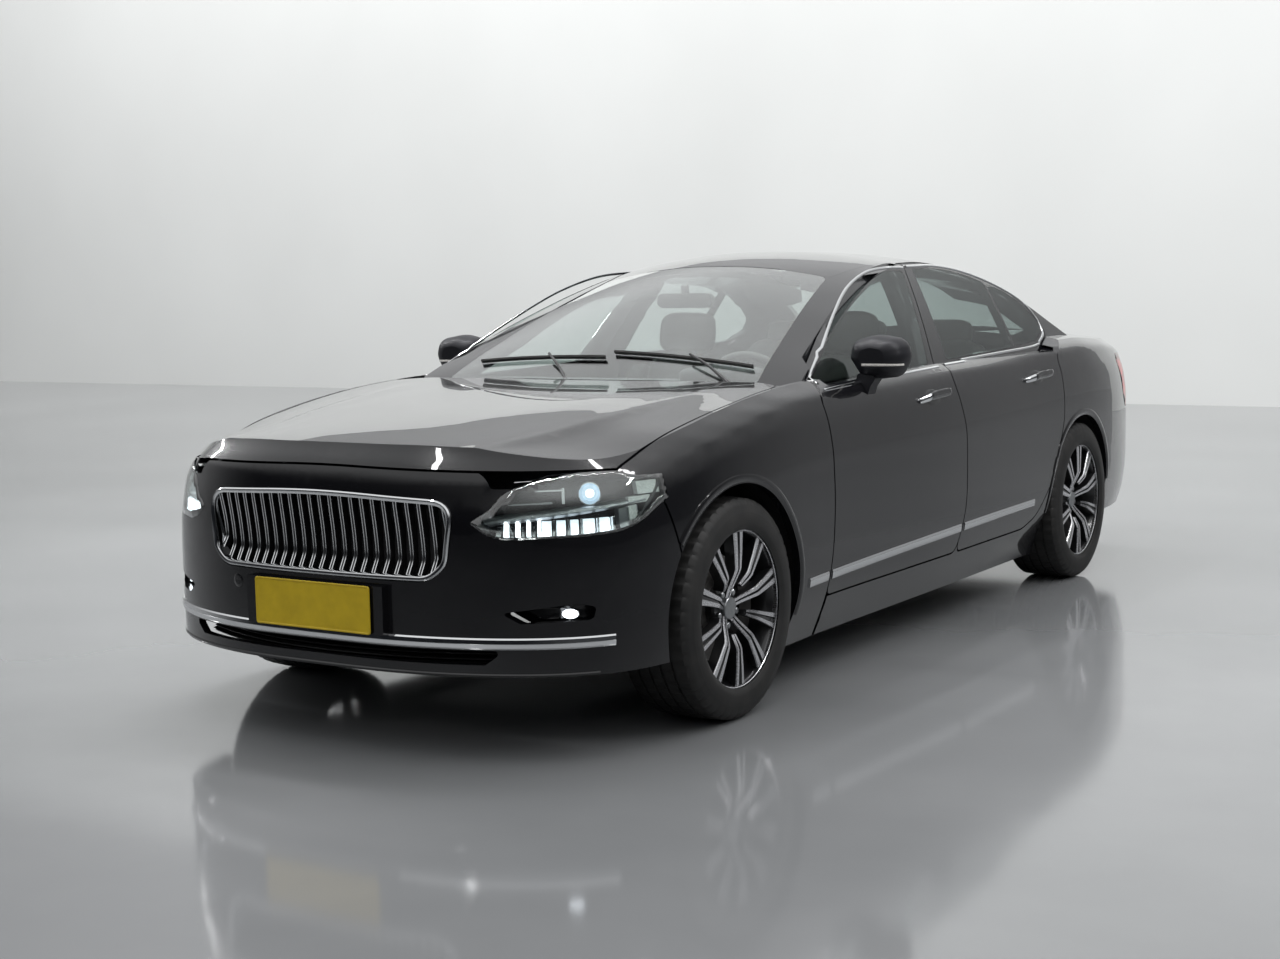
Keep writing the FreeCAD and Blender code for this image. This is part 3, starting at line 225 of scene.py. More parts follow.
def sky_blend(axis, low, high, first, second):
    """Colour that goes from one to another as the view turns along an axis"""
    span = world.node_tree.nodes.new("ShaderNodeMapRange")
    span.interpolation_type = "SMOOTHSTEP"
    span.inputs["From Min"].default_value = low
    span.inputs["From Max"].default_value = high
    world.node_tree.links.new(sky_split.outputs[axis], span.inputs["Value"])
    mix = world.node_tree.nodes.new("ShaderNodeMix")
    mix.data_type = "RGBA"
    world.node_tree.links.new(span.outputs["Result"], mix.inputs["Factor"])
    for socket, value in ((MIX_FIRST, first), (MIX_SECOND, second)):
        if isinstance(value, tuple):
            mix.inputs[socket].default_value = (*value, 1.0)
        else:
            world.node_tree.links.new(value, mix.inputs[socket])
    return mix.outputs[MIX_RESULT]


around = sky_blend("Y", -0.6, 0.05, (0.010, 0.011, 0.013), (0.34, 0.345, 0.35))
sides = sky_blend("X", 0.35, 0.85, around, (0.045, 0.047, 0.05))
whole = sky_blend("Z", 0.20, 0.52, sides, (0.95, 0.96, 0.97))
world.node_tree.links.new(whole, background.inputs["Color"])


def soft_lamp(name, place, aim, size, power):
    """Rectangular lamp at a place, facing a point"""
    lamp_data = bpy.data.lights.new(name, "AREA")
    lamp_data.shape = "RECTANGLE"
    lamp_data.size, lamp_data.size_y = size
    lamp_data.energy = power
    lamp = bpy.data.objects.new(name, lamp_data)
    lamp.location = place
    lamp.rotation_euler = (Vector(aim) - Vector(place)).to_track_quat("-Z", "Y").to_euler()
    scene.collection.objects.link(lamp)
    return lamp


soft_lamp("strip lamp left", (2.4, -0.5, 4.6), (1.2, -0.5, 0.5), (0.22, 8.0), 150)
soft_lamp("strip lamp middle", (-0.9, -2.2, 4.8), (-0.9, -2.2, 0.5), (0.16, 4.6), 80)
soft_lamp("strip lamp right", (-3.4, -0.5, 4.6), (-1.2, -0.5, 0.5), (0.22, 8.0), 150)
wall_lamp = soft_lamp("wall lamp", (0.0, 5.5, 11.0), (0.0, 12.0, 2.0), (40.0, 3.0), 3500)
wall_lamp.visible_glossy = False
wall_lamp.visible_transmission = False

# Painted panels: pressed steel and aluminium, sprayed black with a clear coat.
# They are the CAD panels, shaded smooth between their sharp edges.
PAINTED = ["body_side_left", "body_side_right", "roof_panel", "tail_panel", "parcel_shelf", "fender_left",
           "fender_right", "bonnet", "boot_lid", "front_bumper", "rear_bumper", "door_front_left",
           "door_front_right", "door_rear_left", "door_rear_right"]
PAINT_COLOUR = (0.0045, 0.0045, 0.0055)

paint = surface("black paint", (900, 0.35, (0.004, 0.004, 0.005), 0.8, (0.008, 0.008, 0.010), 1.0),
                Base_Color=PAINT_COLOUR, Roughness=0.25, Specular_IOR_Level=0.12, Coat_Weight=1.0,
                Coat_Roughness=0.01, Coat_IOR=1.5)


def smooth_node(node, angle):
    """Shade a piece smooth, apart from its sharp edges"""
    mesh = node.data
    mesh.polygons.foreach_set("use_smooth", [True] * len(mesh.polygons))
    node.select_set(True)
    bpy.context.view_layer.objects.active = node
    bpy.ops.object.shade_smooth_by_angle(angle=angle)
    node.select_set(False)


def coat(names, material):
    """Give CAD nodes a material and smooth shading"""
    for name in names:
        for slot in nodes[name].material_slots:
            slot.material = material
        smooth_node(nodes[name], 0.5)


coat(PAINTED, paint)

# Road wheels: cast alloy, black with machined faces, in 19 inch low-profile tyres.
# Five long twin-strip spokes alternate with five shorter ones that end in a U, round a plain cap.
WHEEL_X = 0.806
TYRE_RADIUS = 0.3435
AXLE_Y = {"front": -1.667, "rear": 1.394}
SIDE_SIGN = {"left": 1, "right": -1}
RIM_RADIUS = 0.2475
FACE_X = 0.111
HUB_FACE_X = 0.072
SPOKE_DEPTH = 0.042
GROOVE_DEPTH = 0.007
NUT_CIRCLE = 0.054

bright_alloy = surface("machined alloy",
                       (60, 0.3, (0.22, 0.22, 0.22), 0.7, (0.34, 0.34, 0.34), 2.0, (0.2, 6.0, 6.0)),
                       Base_Color=(0.78, 0.78, 0.80), Metallic=1.0, Roughness=0.26, socket="Roughness")

black_alloy = surface("black alloy", (40, 0.3, (0.008, 0.008, 0.009), 0.7, (0.013, 0.013, 0.014)),
                      Base_Color=(0.010, 0.010, 0.011), Metallic=0.0, Roughness=0.30, Coat_Weight=0.6,
                      Coat_Roughness=0.08)

cap_metal = surface("satin cap", (120, 0.3, (0.31, 0.32, 0.33), 0.7, (0.38, 0.39, 0.40)),
                    Base_Color=(0.35, 0.36, 0.37), Metallic=0.9, Roughness=0.35)

disc_steel = surface("brake disc steel",
                     (300, 0.3, (0.22, 0.21, 0.20), 0.7, (0.38, 0.37, 0.36), 2.0, (0.1, 1.0, 1.0)),
                     Base_Color=(0.30, 0.29, 0.28), Metallic=1.0, Roughness=0.42)


class Builder:
    """Points and faces of one piece, with a material number for each face"""

    def __init__(self):
        self.points = []
        self.faces = []
        self.numbers = []

    def point(self, place):
        self.points.append(tuple(place))
        return len(self.points) - 1

    def face(self, corners, number=0):
        self.faces.append(tuple(corners))
        self.numbers.append(number)

    def grid(self, rows, number=0, closed=False):
        """Faces between rows of points"""
        ids = [[self.point(p) for p in row] for row in rows]
        count = len(ids[0])
        for i in range(len(ids) - 1):
            for j in range(count if closed else count - 1):
                k = (j + 1) % count
                self.face((ids[i][j], ids[i][k], ids[i + 1][k], ids[i + 1][j]), number)
        return ids

    def sweep(self, rows, number=0):
        """Closed faces between rings of points, with both ends capped"""
        ids = self.grid(rows, number, closed=True)
        self.face(reversed(ids[0]), number)
        self.face(ids[-1], number)

    def take_in(self, other, place, numbers):
        """Another builder's points, each moved by a function, and its faces with new material numbers"""
        base = len(self.points)
        for point in other.points:
            self.point(place(*point))
        for corners, number in zip(other.faces, other.numbers):
            self.face([base + c for c in corners], numbers[number])

    def make(self, name, materials, body, smooth_angle=0.6):
        """The finished piece on its body, shaded smooth apart from its sharp edges"""
        mesh = bpy.data.meshes.new(name)
        mesh.from_pydata(self.points, [], self.faces)
        for material in materials:
            mesh.materials.append(material)
        mesh.polygons.foreach_set("material_index", self.numbers)
        work = bmesh.new()
        work.from_mesh(mesh)
        bmesh.ops.remove_doubles(work, verts=work.verts, dist=1e-5)
        bmesh.ops.recalc_face_normals(work, faces=work.faces)
        work.to_mesh(mesh)
        work.free()
        piece = bpy.data.objects.new(name, mesh)
        scene.collection.objects.link(piece)
        smooth_node(piece, smooth_angle)
        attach(piece, body)
        return piece


def circle(count):
    """(cosine, sine) of even steps round a full turn"""
    turns = [2 * math.pi * i / count for i in range(count)]
    return [(math.cos(turn), math.sin(turn)) for turn in turns]


def revolved(builder, profile, count, number=0):
    """Surface of revolution about X from (x, radius) points"""
    rows = [[(x, radius * b, radius * a) for a, b in circle(count)] for x, radius in profile]
    builder.grid(rows, number, closed=True)


def spoke(builder, turn, stations):
    """One spoke from stations of (radius, face x, half width, half groove)"""
    rows = []
    for radius, x, half, groove in stations:
        back = max(x - SPOKE_DEPTH, 0.028)
        ring = [(back, -half * 0.72), (x - 0.004, -half - 0.0015), (x, -half), (x, -groove),
                (x - GROOVE_DEPTH, -groove * 0.55), (x - GROOVE_DEPTH, groove * 0.55), (x, groove), (x, half),
                (x - 0.004, half + 0.0015), (back, half * 0.72)]
        rows.append([(px, radius, across) for px, across in ring])
    turned = []
    for row in rows:
        turned.append([(px, radius * math.sin(turn) + across * math.cos(turn),
                        radius * math.cos(turn) - across * math.sin(turn)) for px, radius, across in row])
    bright = {1, 2, 6, 7}
    ids = [[builder.point(p) for p in row] for row in turned]
    for i in range(len(ids) - 1):
        for j in range(9):
            builder.face((ids[i][j], ids[i][j + 1], ids[i + 1][j + 1], ids[i + 1][j]),
                         0 if j in bright else 1)
    builder.face(tuple(reversed(ids[0])), 1)
    builder.face(tuple(ids[-1]), 1)


LONG_SPOKE = [(0.030, HUB_FACE_X, 0.0105, 0.0022), (0.060, HUB_FACE_X + 0.010, 0.0115, 0.0028),
              (0.112, FACE_X - 0.004, 0.0140, 0.0040), (0.124, FACE_X, 0.0150, 0.0042),
              (0.180, FACE_X + 0.001, 0.0200, 0.0060), (0.236, FACE_X, 0.0255, 0.0080)]
SHORT_SPOKE = [(0.080, FACE_X - 0.020, 0.0080, 0.0015), (0.088, FACE_X - 0.016, 0.0100, 0.0024),
               (0.112, FACE_X - 0.004, 0.0125, 0.0040), (0.124, FACE_X, 0.0135, 0.0045),
               (0.180, FACE_X + 0.001, 0.0180, 0.0070), (0.236, FACE_X, 0.0235, 0.0100)]
BARREL = [(0.098, 0.2400), (0.112, 0.2385), (0.1135, 0.2400), (0.1135, 0.2460), (0.112, RIM_RADIUS),
          (0.100, RIM_RADIUS), (0.088, 0.2440), (0.050, 0.2250), (-0.050, 0.2250), (-0.090, 0.2440),
          (-0.116, 0.2475), (-0.118, 0.2260), (-0.060, 0.2130), (0.060, 0.2180), (0.098, 0.2360)]


def at_corner(builder, axle, side):
    """Move points from the wheel's own place to a corner of the car"""
    sign = SIDE_SIGN[side]
    builder.points = [(sign * (x + WHEEL_X), y + AXLE_Y[axle], z + TYRE_RADIUS) for x, y, z in builder.points]


def road_wheel(axle, side):
    """Rim, cap, nuts and brake disc of one wheel"""
    wheel = Builder()
    revolved(wheel, BARREL[:6], 120, 0)
    revolved(wheel, BARREL[5:] + BARREL[:1], 120, 1)
    for i in range(5):
        spoke(wheel, math.radians(72 * i), LONG_SPOKE)
        spoke(wheel, math.radians(72 * i + 36), SHORT_SPOKE)
    revolved(wheel, [(0.028, 0.0700), (0.052, 0.0690), (0.060, 0.0640), (0.064, 0.0380), (0.064, 0.0001)], 60,
             1)
    revolved(wheel, [(0.060, 0.0345), (0.078, 0.0345), (0.0805, 0.0325), (0.0825, 0.0200), (0.0830, 0.0001)],
             60, 2)
    for i in range(5):
        turn = math.radians(72 * i + 36)
        nut = Builder()
        revolved(nut, [(0.055, 0.0105), (0.072, 0.0105), (0.074, 0.0085), (0.074, 0.0001)], 6)
        across, up = NUT_CIRCLE * math.sin(turn), NUT_CIRCLE * math.cos(turn)
        wheel.take_in(nut, lambda x, y, z: (x, y + across, z + up), [2])
    revolved(wheel, [(-0.004, 0.1000), (-0.004, 0.1650), (0.018, 0.1650), (0.018, 0.1000), (0.030, 0.0960),
                     (0.032, 0.0400)], 96, 3)
    at_corner(wheel, axle, side)
    corner = axle + "_" + side
    metals = [bright_alloy, black_alloy, cap_metal, disc_steel]
    piece = wheel.make("wheel_" + corner, metals, "wheel_" + corner, 0.5)
    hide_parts("rim_" + corner)


for axle in AXLE_Y:
    for side in SIDE_SIGN:
        road_wheel(axle, side)

# Tyres: black rubber, with four grooves round the tread, sipes across its blocks and a ribbed shoulder.
tyre_rubber = surface("tyre rubber", (14, 0.35, (0.009, 0.009, 0.009), 0.75, (0.020, 0.019, 0.018), 6.0),
                      Base_Color=(0.012, 0.012, 0.012), Roughness=0.62, grain=(700, 0.25, 0.0006))

TREAD_COUNT = 288
TREAD_HALF = 0.104
GROOVES = (-0.062, -0.021, 0.021, 0.062)
GROOVE_CUT = 0.0065
SHOULDER_CUT = 0.0035
BLOCK_CUT = 0.0045
SIPE_CUT = 0.0025
CUT_PITCH = 6
OUTER_BLOCK = 0.07


def tread_profile():
    """(x, radius, kind) across the tyre: plain, block or groove"""
    side = [(0.118, 0.2420, "plain"), (0.1265, 0.2560, "plain"), (0.1275, 0.2660, "plain"),
            (0.1272, 0.2900, "plain"), (0.1262, 0.2925, "plain"), (0.1262, 0.2955, "plain"),
            (0.1250, 0.2980, "plain"), (0.1215, 0.3160, "plain"), (0.1150, 0.3290, "shoulder"),
            (0.1070, 0.3358, "shoulder")]
    tread = []
    edges = [TREAD_HALF]
    for groove in reversed(GROOVES):
        edges += [groove + 0.0045, groove + 0.0035, groove - 0.0035, groove - 0.0045]
    edges.append(-TREAD_HALF)
    for i, x in enumerate(edges):
        radius = TYRE_RADIUS - 0.0006 - 5.0 * x * x * 0.08
        kind = "groove" if 0 < i < len(edges) - 1 and (i - 1) % 4 in (1, 2) else "block"
        tread.append((x, radius, kind))
    return side + tread + [(-x, radius, kind) for x, radius, kind in reversed(side)]


def tread_depth(kind, x, i):
    """Depth of the tread's cuts at a place across the tyre and a step round it"""
    if kind == "groove":
        return GROOVE_CUT
    if kind == "shoulder" and i % CUT_PITCH == 0:
        return SHOULDER_CUT
    if kind == "block" and abs(x) > OUTER_BLOCK and i % CUT_PITCH == 0:
        return BLOCK_CUT
    if kind == "block" and abs(x) <= OUTER_BLOCK and (i + int(abs(x) * 200)) % CUT_PITCH == CUT_PITCH // 2:
        return SIPE_CUT
    return 0.0


def road_tyre(axle, side):
    """One tyre about its wheel centre"""
    rubber = Builder()
    rows = []
    for x, radius, kind in tread_profile():
        depths = [radius - tread_depth(kind, x, i) for i in range(TREAD_COUNT)]
        rows.append([(x, deep * b, deep * a) for deep, (a, b) in zip(depths, circle(TREAD_COUNT))])
    rubber.grid(rows, 0, closed=True)
    at_corner(rubber, axle, side)
    corner = axle + "_" + side
    piece = rubber.make("tread_" + corner, [tyre_rubber], "wheel_" + corner, 0.6)
    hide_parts("tyre_" + corner)


for axle in AXLE_Y:
    for side in SIDE_SIGN:
        road_tyre(axle, side)

# Window glass: tempered panes with a faint green-grey tint, clear in the windscreen and darker behind it.
# Shadow rays pass straight through it, so that daylight reaches the cabin.


def glass_material(name, tint, shade, film=0.0):
    """Clear pane with a tint and a reflecting film, which lets shadow rays through"""
    material, tree, shader = new_material(name)
    set_values(shader, Base_Color=tint, Roughness=0.0, Transmission_Weight=1.0, IOR=1.46, Coat_Weight=film,
               Coat_IOR=1.8)
    mottled(tree, shader, "Base Color", 3, 0.2, tuple(0.97 * c for c in tint), 0.8, tint)
    clear = tree.nodes.new("ShaderNodeBsdfTransparent")
    clear.inputs["Color"].default_value = (*shade, 1)
    path = tree.nodes.new("ShaderNodeLightPath")
    mix = tree.nodes.new("ShaderNodeMixShader")
    output = tree.nodes["Material Output"]
    tree.links.new(path.outputs["Is Shadow Ray"], mix.inputs["Fac"])
    tree.links.new(shader.outputs["BSDF"], mix.inputs[1])
    tree.links.new(clear.outputs["BSDF"], mix.inputs[2])
    tree.links.new(mix.outputs["Shader"], output.inputs["Surface"])
    return material


front_glass = glass_material("windscreen glass", (0.86, 0.92, 0.90), (0.80, 0.86, 0.84), 1.0)
side_glass = glass_material("side glass", (0.62, 0.70, 0.68), (0.50, 0.58, 0.56))
coat(["windscreen"], front_glass)
coat(["rear_window", "door_glass_front_left", "door_glass_front_right", "door_glass_rear_left",
      "door_glass_rear_right"], side_glass)

# Cabin: dark soft-touch dashboard and console, leather seats, and a leather wheel.
leather = surface("dark leather", (9, 0.3, (0.028, 0.026, 0.025), 0.7, (0.045, 0.041, 0.038), 4.0),
                  Base_Color=(0.035, 0.032, 0.030), Roughness=0.55, grain=(420, 0.35, 0.0008, 4.0))

soft_trim = surface("soft trim", (5, 0.3, (0.026, 0.026, 0.027), 0.7, (0.036, 0.036, 0.037)),
                    Base_Color=(0.030, 0.030, 0.031), Roughness=0.72, grain=(650, 0.3, 0.0006, 3.0))

coat(["front_seats", "rear_seat", "steering_wheel"], leather)
coat(["dashboard", "centre_console", "inner_mirror"], soft_trim)

# Underbody, liners and engine bay: pressed steel with a dull coating, cast iron and ribbed plastic.
black_plastic = surface("black plastic", (7, 0.3, (0.012, 0.012, 0.013), 0.7, (0.022, 0.022, 0.023)),
                        Base_Color=(0.016, 0.016, 0.017), Roughness=0.5, grain=(500, 0.3, 0.0006, 3.0))

dull_steel = surface("coated steel", (12, 0.3, (0.035, 0.035, 0.037), 0.75, (0.085, 0.080, 0.074), 6.0),
                     Base_Color=(0.05, 0.05, 0.052), Metallic=0.4, Roughness=0.55)

cast_iron = surface("cast engine metal", (180, 0.3, (0.10, 0.10, 0.105), 0.7, (0.19, 0.19, 0.195), 6.0),
                    Base_Color=(0.14, 0.14, 0.145), Metallic=0.7, Roughness=0.6, grain=(180, 0.5, 0.002, 6.0))

coat(["wheel_liners", "cowl_panel"], black_plastic)
coat(["floor_pan", "front_axle", "rear_axle", "exhaust", "knuckle_left", "knuckle_right"], dull_steel)
coat(["engine_block"], cast_iron)

chrome = surface("chrome", (30, 0.3, (0.07, 0.07, 0.07), 0.7, (0.13, 0.13, 0.13), 3.0),
                 Base_Color=(0.80, 0.81, 0.82), Metallic=1.0, Roughness=0.10, socket="Roughness")
coat(["grille"], chrome)
coat(["headlamps"], front_glass)
lamp_red = glass_material("red lamp lens", (0.55, 0.015, 0.012), (0.6, 0.05, 0.05))
coat(["tail_lamps"], lamp_red)

# Bright trim: bent stainless strips round the side windows and along the lower doors.
# Each strip is clipped to the door or fender that it lies on, and stops at the shut gaps.
STRIP_PROUD = 0.0035
WAIST_Z = 0.97
GLASS_LEAN = 0.5595
GLASS_FOOT = 1.372
SPLINE_STEPS = 24


def tree_of(polygons):
    """Search tree over loose polygons"""
    points = []
    faces = []
    for corners in polygons:
        faces.append(tuple(range(len(points), len(points) + len(corners))))
        points += corners
    return BVHTree.FromPolygons(points, faces)


def skin_tree(names):
    """Search tree over the faces of CAD nodes"""
    meshes = [nodes[name].data for name in names]
    return tree_of([[mesh.vertices[i].co.copy() for i in face.vertices] for mesh in meshes
                    for face in mesh.polygons])


def skin_hit(tree_of_faces, start, direction):
    """Point and outward normal where a ray meets the skin"""
    place, normal, _, _ = tree_of_faces.ray_cast(Vector(start), Vector(direction).normalized())
    if place is None:
        return None
    if normal.dot(Vector(direction)) > 0:
        normal = -normal
    return place, normal


def spline_points(points, count):
    """Evenly spaced points on a smooth line through the points"""
    line = [Vector(p) for p in points]
    line = [line[0] * 2 - line[1]] + line + [line[-1] * 2 - line[-2]]
    dense = []
    for i in range(1, len(line) - 2):
        for k in range(SPLINE_STEPS):
            t = k / SPLINE_STEPS
            a, b, c, d = line[i - 1], line[i], line[i + 1], line[i + 2]
            dense.append(0.5 * ((2 * b) + (c - a) * t + (2 * a - 5 * b + 4 * c - d) * t * t
                                + (3 * b - a - 3 * c + d) * t ** 3))
    dense.append(line[-2])
    lengths = [0.0]
    for i in range(1, len(dense)):
        lengths.append(lengths[-1] + (dense[i] - dense[i - 1]).length)
    result = []
    at = 0
    for k in range(count):
        target = lengths[-1] * k / (count - 1)
        while at < len(dense) - 2 and lengths[at + 1] < target:
            at += 1
        share = (target - lengths[at]) / max(lengths[at + 1] - lengths[at], 1e-9)
        result.append(dense[at].lerp(dense[at + 1], min(max(share, 0), 1)))
    return result


def ribbon(builder, path, outs, section, number=0):
    """Strip swept along a path: each section point is (across, out) from the path's point"""
    rows = []
    for i, place in enumerate(path):
        ahead = path[min(i + 1, len(path) - 1)] - path[max(i - 1, 0)]
        ahead.normalize()
        out = outs[i].normalized()
        across = out.cross(ahead).normalized()
        rows.append([place + across * a + out * b for a, b in section])
    builder.sweep(rows, number)


def rod(builder, path, radius, number=0, sides=8):
    """Round bar through points"""
    rows = []
    for i, place in enumerate(path):
        ahead = (path[min(i + 1, len(path) - 1)] - path[max(i - 1, 0)]).normalized()
        first = ahead.cross(Vector((0, 0, 1)) if abs(ahead.z) < 0.9 else Vector((1, 0, 0))).normalized()
        second = ahead.cross(first)
        size = radius[i] if isinstance(radius, (list, tuple)) else radius
        rows.append([place + (first * a + second * b) * size for a, b in circle(sides)])
    builder.sweep(rows, number)


def strip_section(width, height):
    """Rounded section of a bright strip, with its foot sunk into what carries it"""
    half = width / 2
    foot = 0.0015
    return [(-half, -foot), (-half, height * 0.45), (-half * 0.8, height * 0.85), (-half * 0.4, height),
            (half * 0.4, height), (half * 0.8, height * 0.85), (half, height * 0.45), (half, -foot)]


side_skin = {side: skin_tree([n for n in PAINTED if n.endswith("_" + side)]) for side in SIDE_SIGN}
own_skin = {name: skin_tree([name]) for name in PAINTED if name.endswith("_left") or name.endswith("_right")}


def side_hit(skin, side, y, z):
    """Point and outward normal on a side of the car, or nothing"""
    sign = SIDE_SIGN[side]
    return skin_hit(skin, (sign * 1.2, y, z), (-sign, 0, 0))


def side_strip(name, side, body, points, width, height=STRIP_PROUD, count=40):
    """Bright strip along (y, z) points on the car's side"""
    sign = SIDE_SIGN[side]
    carrier = own_skin[body if body in nodes else "fender_" + side]
    path = []
    outs = []
    for p in spline_points([(0, y, z) for y, z in points], count):
        hit = side_hit(carrier, side, p.y, p.z)
        if hit:
            path.append(hit[0])
            outs.append(hit[1])
        elif p.z > WAIST_Z:
            path.append(Vector((sign * (GLASS_FOOT - GLASS_LEAN * p.z), p.y, p.z)))
            outs.append(Vector((sign, 0, GLASS_LEAN)).normalized())
    smooth_outs = []
    for i in range(len(outs)):
        near = outs[max(i - 2, 0):i + 3]
        smooth_outs.append(sum(near, Vector()).normalized())
    strip = Builder()
    ribbon(strip, path, smooth_outs, strip_section(width, height))
    strip.make(name + "_" + side, [chrome], body, 0.9)


FRONT_WINDOW_TOP = [(-0.985, 0.990), (-0.920, 1.030), (-0.767, 1.110), (-0.559, 1.2145), (-0.360, 1.300),
                    (-0.139, 1.3560), (0.066, 1.3735), (0.222, 1.3740)]
REAR_WINDOW_TOP = [(0.256, 1.3770), (0.514, 1.3800), (0.747, 1.3610), (0.967, 1.3220), (1.172, 1.2660),
                   (1.289, 1.2160), (1.352, 1.1600), (1.3640, 1.1150), (1.3480, 1.0760), (1.2450, 1.0410)]
FRONT_BELT = [(-1.018, 0.968), (-0.695, 0.979), (-0.380, 0.989), (-0.010, 0.999)]
REAR_BELT = [(0.060, 1.003), (0.385, 1.010), (0.743, 1.018), (1.121, 1.026), (1.245, 1.036)]
LOWER_FENDER = [(-1.215, 0.3560), (-1.075, 0.3600)]
LOWER_FRONT = [(-1.048, 0.3610), (-0.500, 0.3740), (0.035, 0.3850)]
LOWER_REAR = [(0.066, 0.3860), (0.450, 0.3910), (0.822, 0.3940)]

for side in SIDE_SIGN:
    side_strip("window_trim_front", side, "door_front_" + side, FRONT_WINDOW_TOP, 0.011)
    side_strip("window_trim_rear", side, "door_rear_" + side, REAR_WINDOW_TOP, 0.011, count=60)
    side_strip("belt_trim_front", side, "door_front_" + side, FRONT_BELT, 0.012)
    side_strip("belt_trim_rear", side, "door_rear_" + side, REAR_BELT, 0.012)
    side_strip("lower_trim_fender", side, "body", LOWER_FENDER, 0.032, 0.006, 12)
    side_strip("lower_trim_front", side, "door_front_" + side, LOWER_FRONT, 0.032, 0.006)
    side_strip("lower_trim_rear", side, "door_rear_" + side, LOWER_REAR, 0.032, 0.006)

# Radiator grille: a die-cast chrome frame round upright bars that fall back and then kink forward.
# Each bar has a dark satin face between two bright edges, and a black panel closes the space behind.
GRILLE_CORNERS = [(-0.470, 0.742, 0.070), (0.0, 0.764, 4.0), (0.470, 0.742, 0.070), (0.448, 0.560, 0.060),
                  (0.392, 0.512, 0.090), (-0.392, 0.512, 0.090), (-0.448, 0.560, 0.060)]
BAR_COUNT = 23
BAR_HALF = 0.0062
BAR_SECTION = [(-BAR_HALF, 0.026), (-BAR_HALF, 0.0015), (-BAR_HALF + 0.0014, 0.0),
               (-BAR_HALF + 0.0028, 0.0016), (BAR_HALF - 0.0028, 0.0016), (BAR_HALF - 0.0014, 0.0),
               (BAR_HALF, 0.0015), (BAR_HALF, 0.026)]
BAR_SPREAD = 0.448
BAR_END_GAP = 0.014
GRILLE_HALF = 0.470
GRILLE_Z = 0.64
NOSE_Y = -2.538

dark_satin = surface("dark satin", (80, 0.3, (0.04, 0.04, 0.042), 0.7, (0.06, 0.06, 0.062)),
                     Base_Color=(0.05, 0.05, 0.052), Metallic=0.8, Roughness=0.35)


def rounded(corners, steps=8):
    """Closed line of (a, b) points from corners with radii"""
    points = [Vector((a, b)) for a, b, _ in corners]
    line = []
    count = len(points)
    for i in range(count):
        back = points[i - 1] - points[i]
        ahead = points[(i + 1) % count] - points[i]
        turn = math.pi - back.angle(ahead)
        reach = min(corners[i][2] * math.tan(turn / 2), 0.48 * back.length, 0.48 * ahead.length)
        start = points[i] + back.normalized() * reach
        end = points[i] + ahead.normalized() * reach
        for k in range(steps + 1):
            t = k / steps
            line.append((1 - t) ** 2 * start + 2 * t * (1 - t) * points[i] + t * t * end)
    return line


def even_line(line, count):
    """Evenly spaced points round a closed line"""
    total = [0.0]
    loop = line + [line[0]]
    for i in range(1, len(loop)):
        total.append(total[-1] + (loop[i] - loop[i - 1]).length)
    result = []
    at = 0
    for k in range(count):
        target = total[-1] * k / count
        while total[at + 1] < target:
            at += 1
        share = (target - total[at]) / max(total[at + 1] - total[at], 1e-9)
        result.append(loop[at].lerp(loop[at + 1], share))
    return result


def nose_y(x, z):
    """Place of the nose's skin seen from the front, smoothed over the grille's hole"""
    bow = 0.0483 * (abs(x) / GRILLE_HALF) ** 2.4
    lean = 0.010 * ((z - 0.60) / 0.14) ** 2 * (1 if z > 0.6 else 0.3)
    return NOSE_Y + bow + lean


frame_line = even_line(rounded(GRILLE_CORNERS), 160)
grille_frame = Builder()
centre_line = [Vector((p.x, nose_y(p.x, p.y), p.y)) for p in frame_line]
FRAME_SECTION = [(-0.0080, 0.0120), (-0.0085, -0.0020), (-0.0050, -0.0062), (0.0010, -0.0070),
                 (0.0062, -0.0045), (0.0080, 0.0010), (0.0075, 0.0300), (-0.0040, 0.0300)]
rows = []
for i, place in enumerate(centre_line):
    ahead = centre_line[(i + 1) % len(centre_line)] - centre_line[i - 1]
    inward = Vector((0, 1, 0)).cross(ahead).normalized()
    if inward.dot(Vector((0, 0, GRILLE_Z)) - Vector((place.x, 0, place.z))) < 0:
        inward = -inward
    rows.append([place + inward * (0.0085 + a) + Vector((0, b, 0)) for a, b in FRAME_SECTION])
rows.append(rows[0])
grille_frame.grid(rows, 0, closed=True)
grille_piece = grille_frame.make("grille_frame", [chrome], "body", 0.7)


def grille_edge(x, top):
    """Height of the frame's inner edge above or below a place across the grille"""
    best = None
    for i, p in enumerate(frame_line):
        q = frame_line[(i + 1) % len(frame_line)]
        if (p.x - x) * (q.x - x) <= 0 and abs(p.x - q.x) > 1e-6:
            z = p.y + (q.y - p.y) * (x - p.x) / (q.x - p.x)
            if best is None or (z > best if top else z < best):
                best = z
    return best


bars = Builder()
for i in range(BAR_COUNT):
    x = BAR_SPREAD * (2 * (i + 0.5) / BAR_COUNT - 1)
    top = grille_edge(x, True) - BAR_END_GAP
    low = grille_edge(x, False) + BAR_END_GAP
    rows = []
    for k in range(15):
        t = k / 14
        z = top + (low - top) * t
        fall = 0.030 * math.sin(min(t / 0.8, 1) * math.pi / 2)
        y = nose_y(x, z) + 0.008 + fall - 0.12 * max(t - 0.8, 0)
        rows.append([Vector((x + a, y + b, z)) for a, b in BAR_SECTION])
    ids = [[bars.point(p) for p in row] for row in rows]
    for a in range(len(ids) - 1):
        for b in range(7):
            bars.face((ids[a][b], ids[a][b + 1], ids[a + 1][b + 1], ids[a + 1][b]),
                      1 if b in (0, 3, 6) else 0)
bars.make("grille_bars", [chrome, dark_satin], "body", 0.5)
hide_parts("grille")

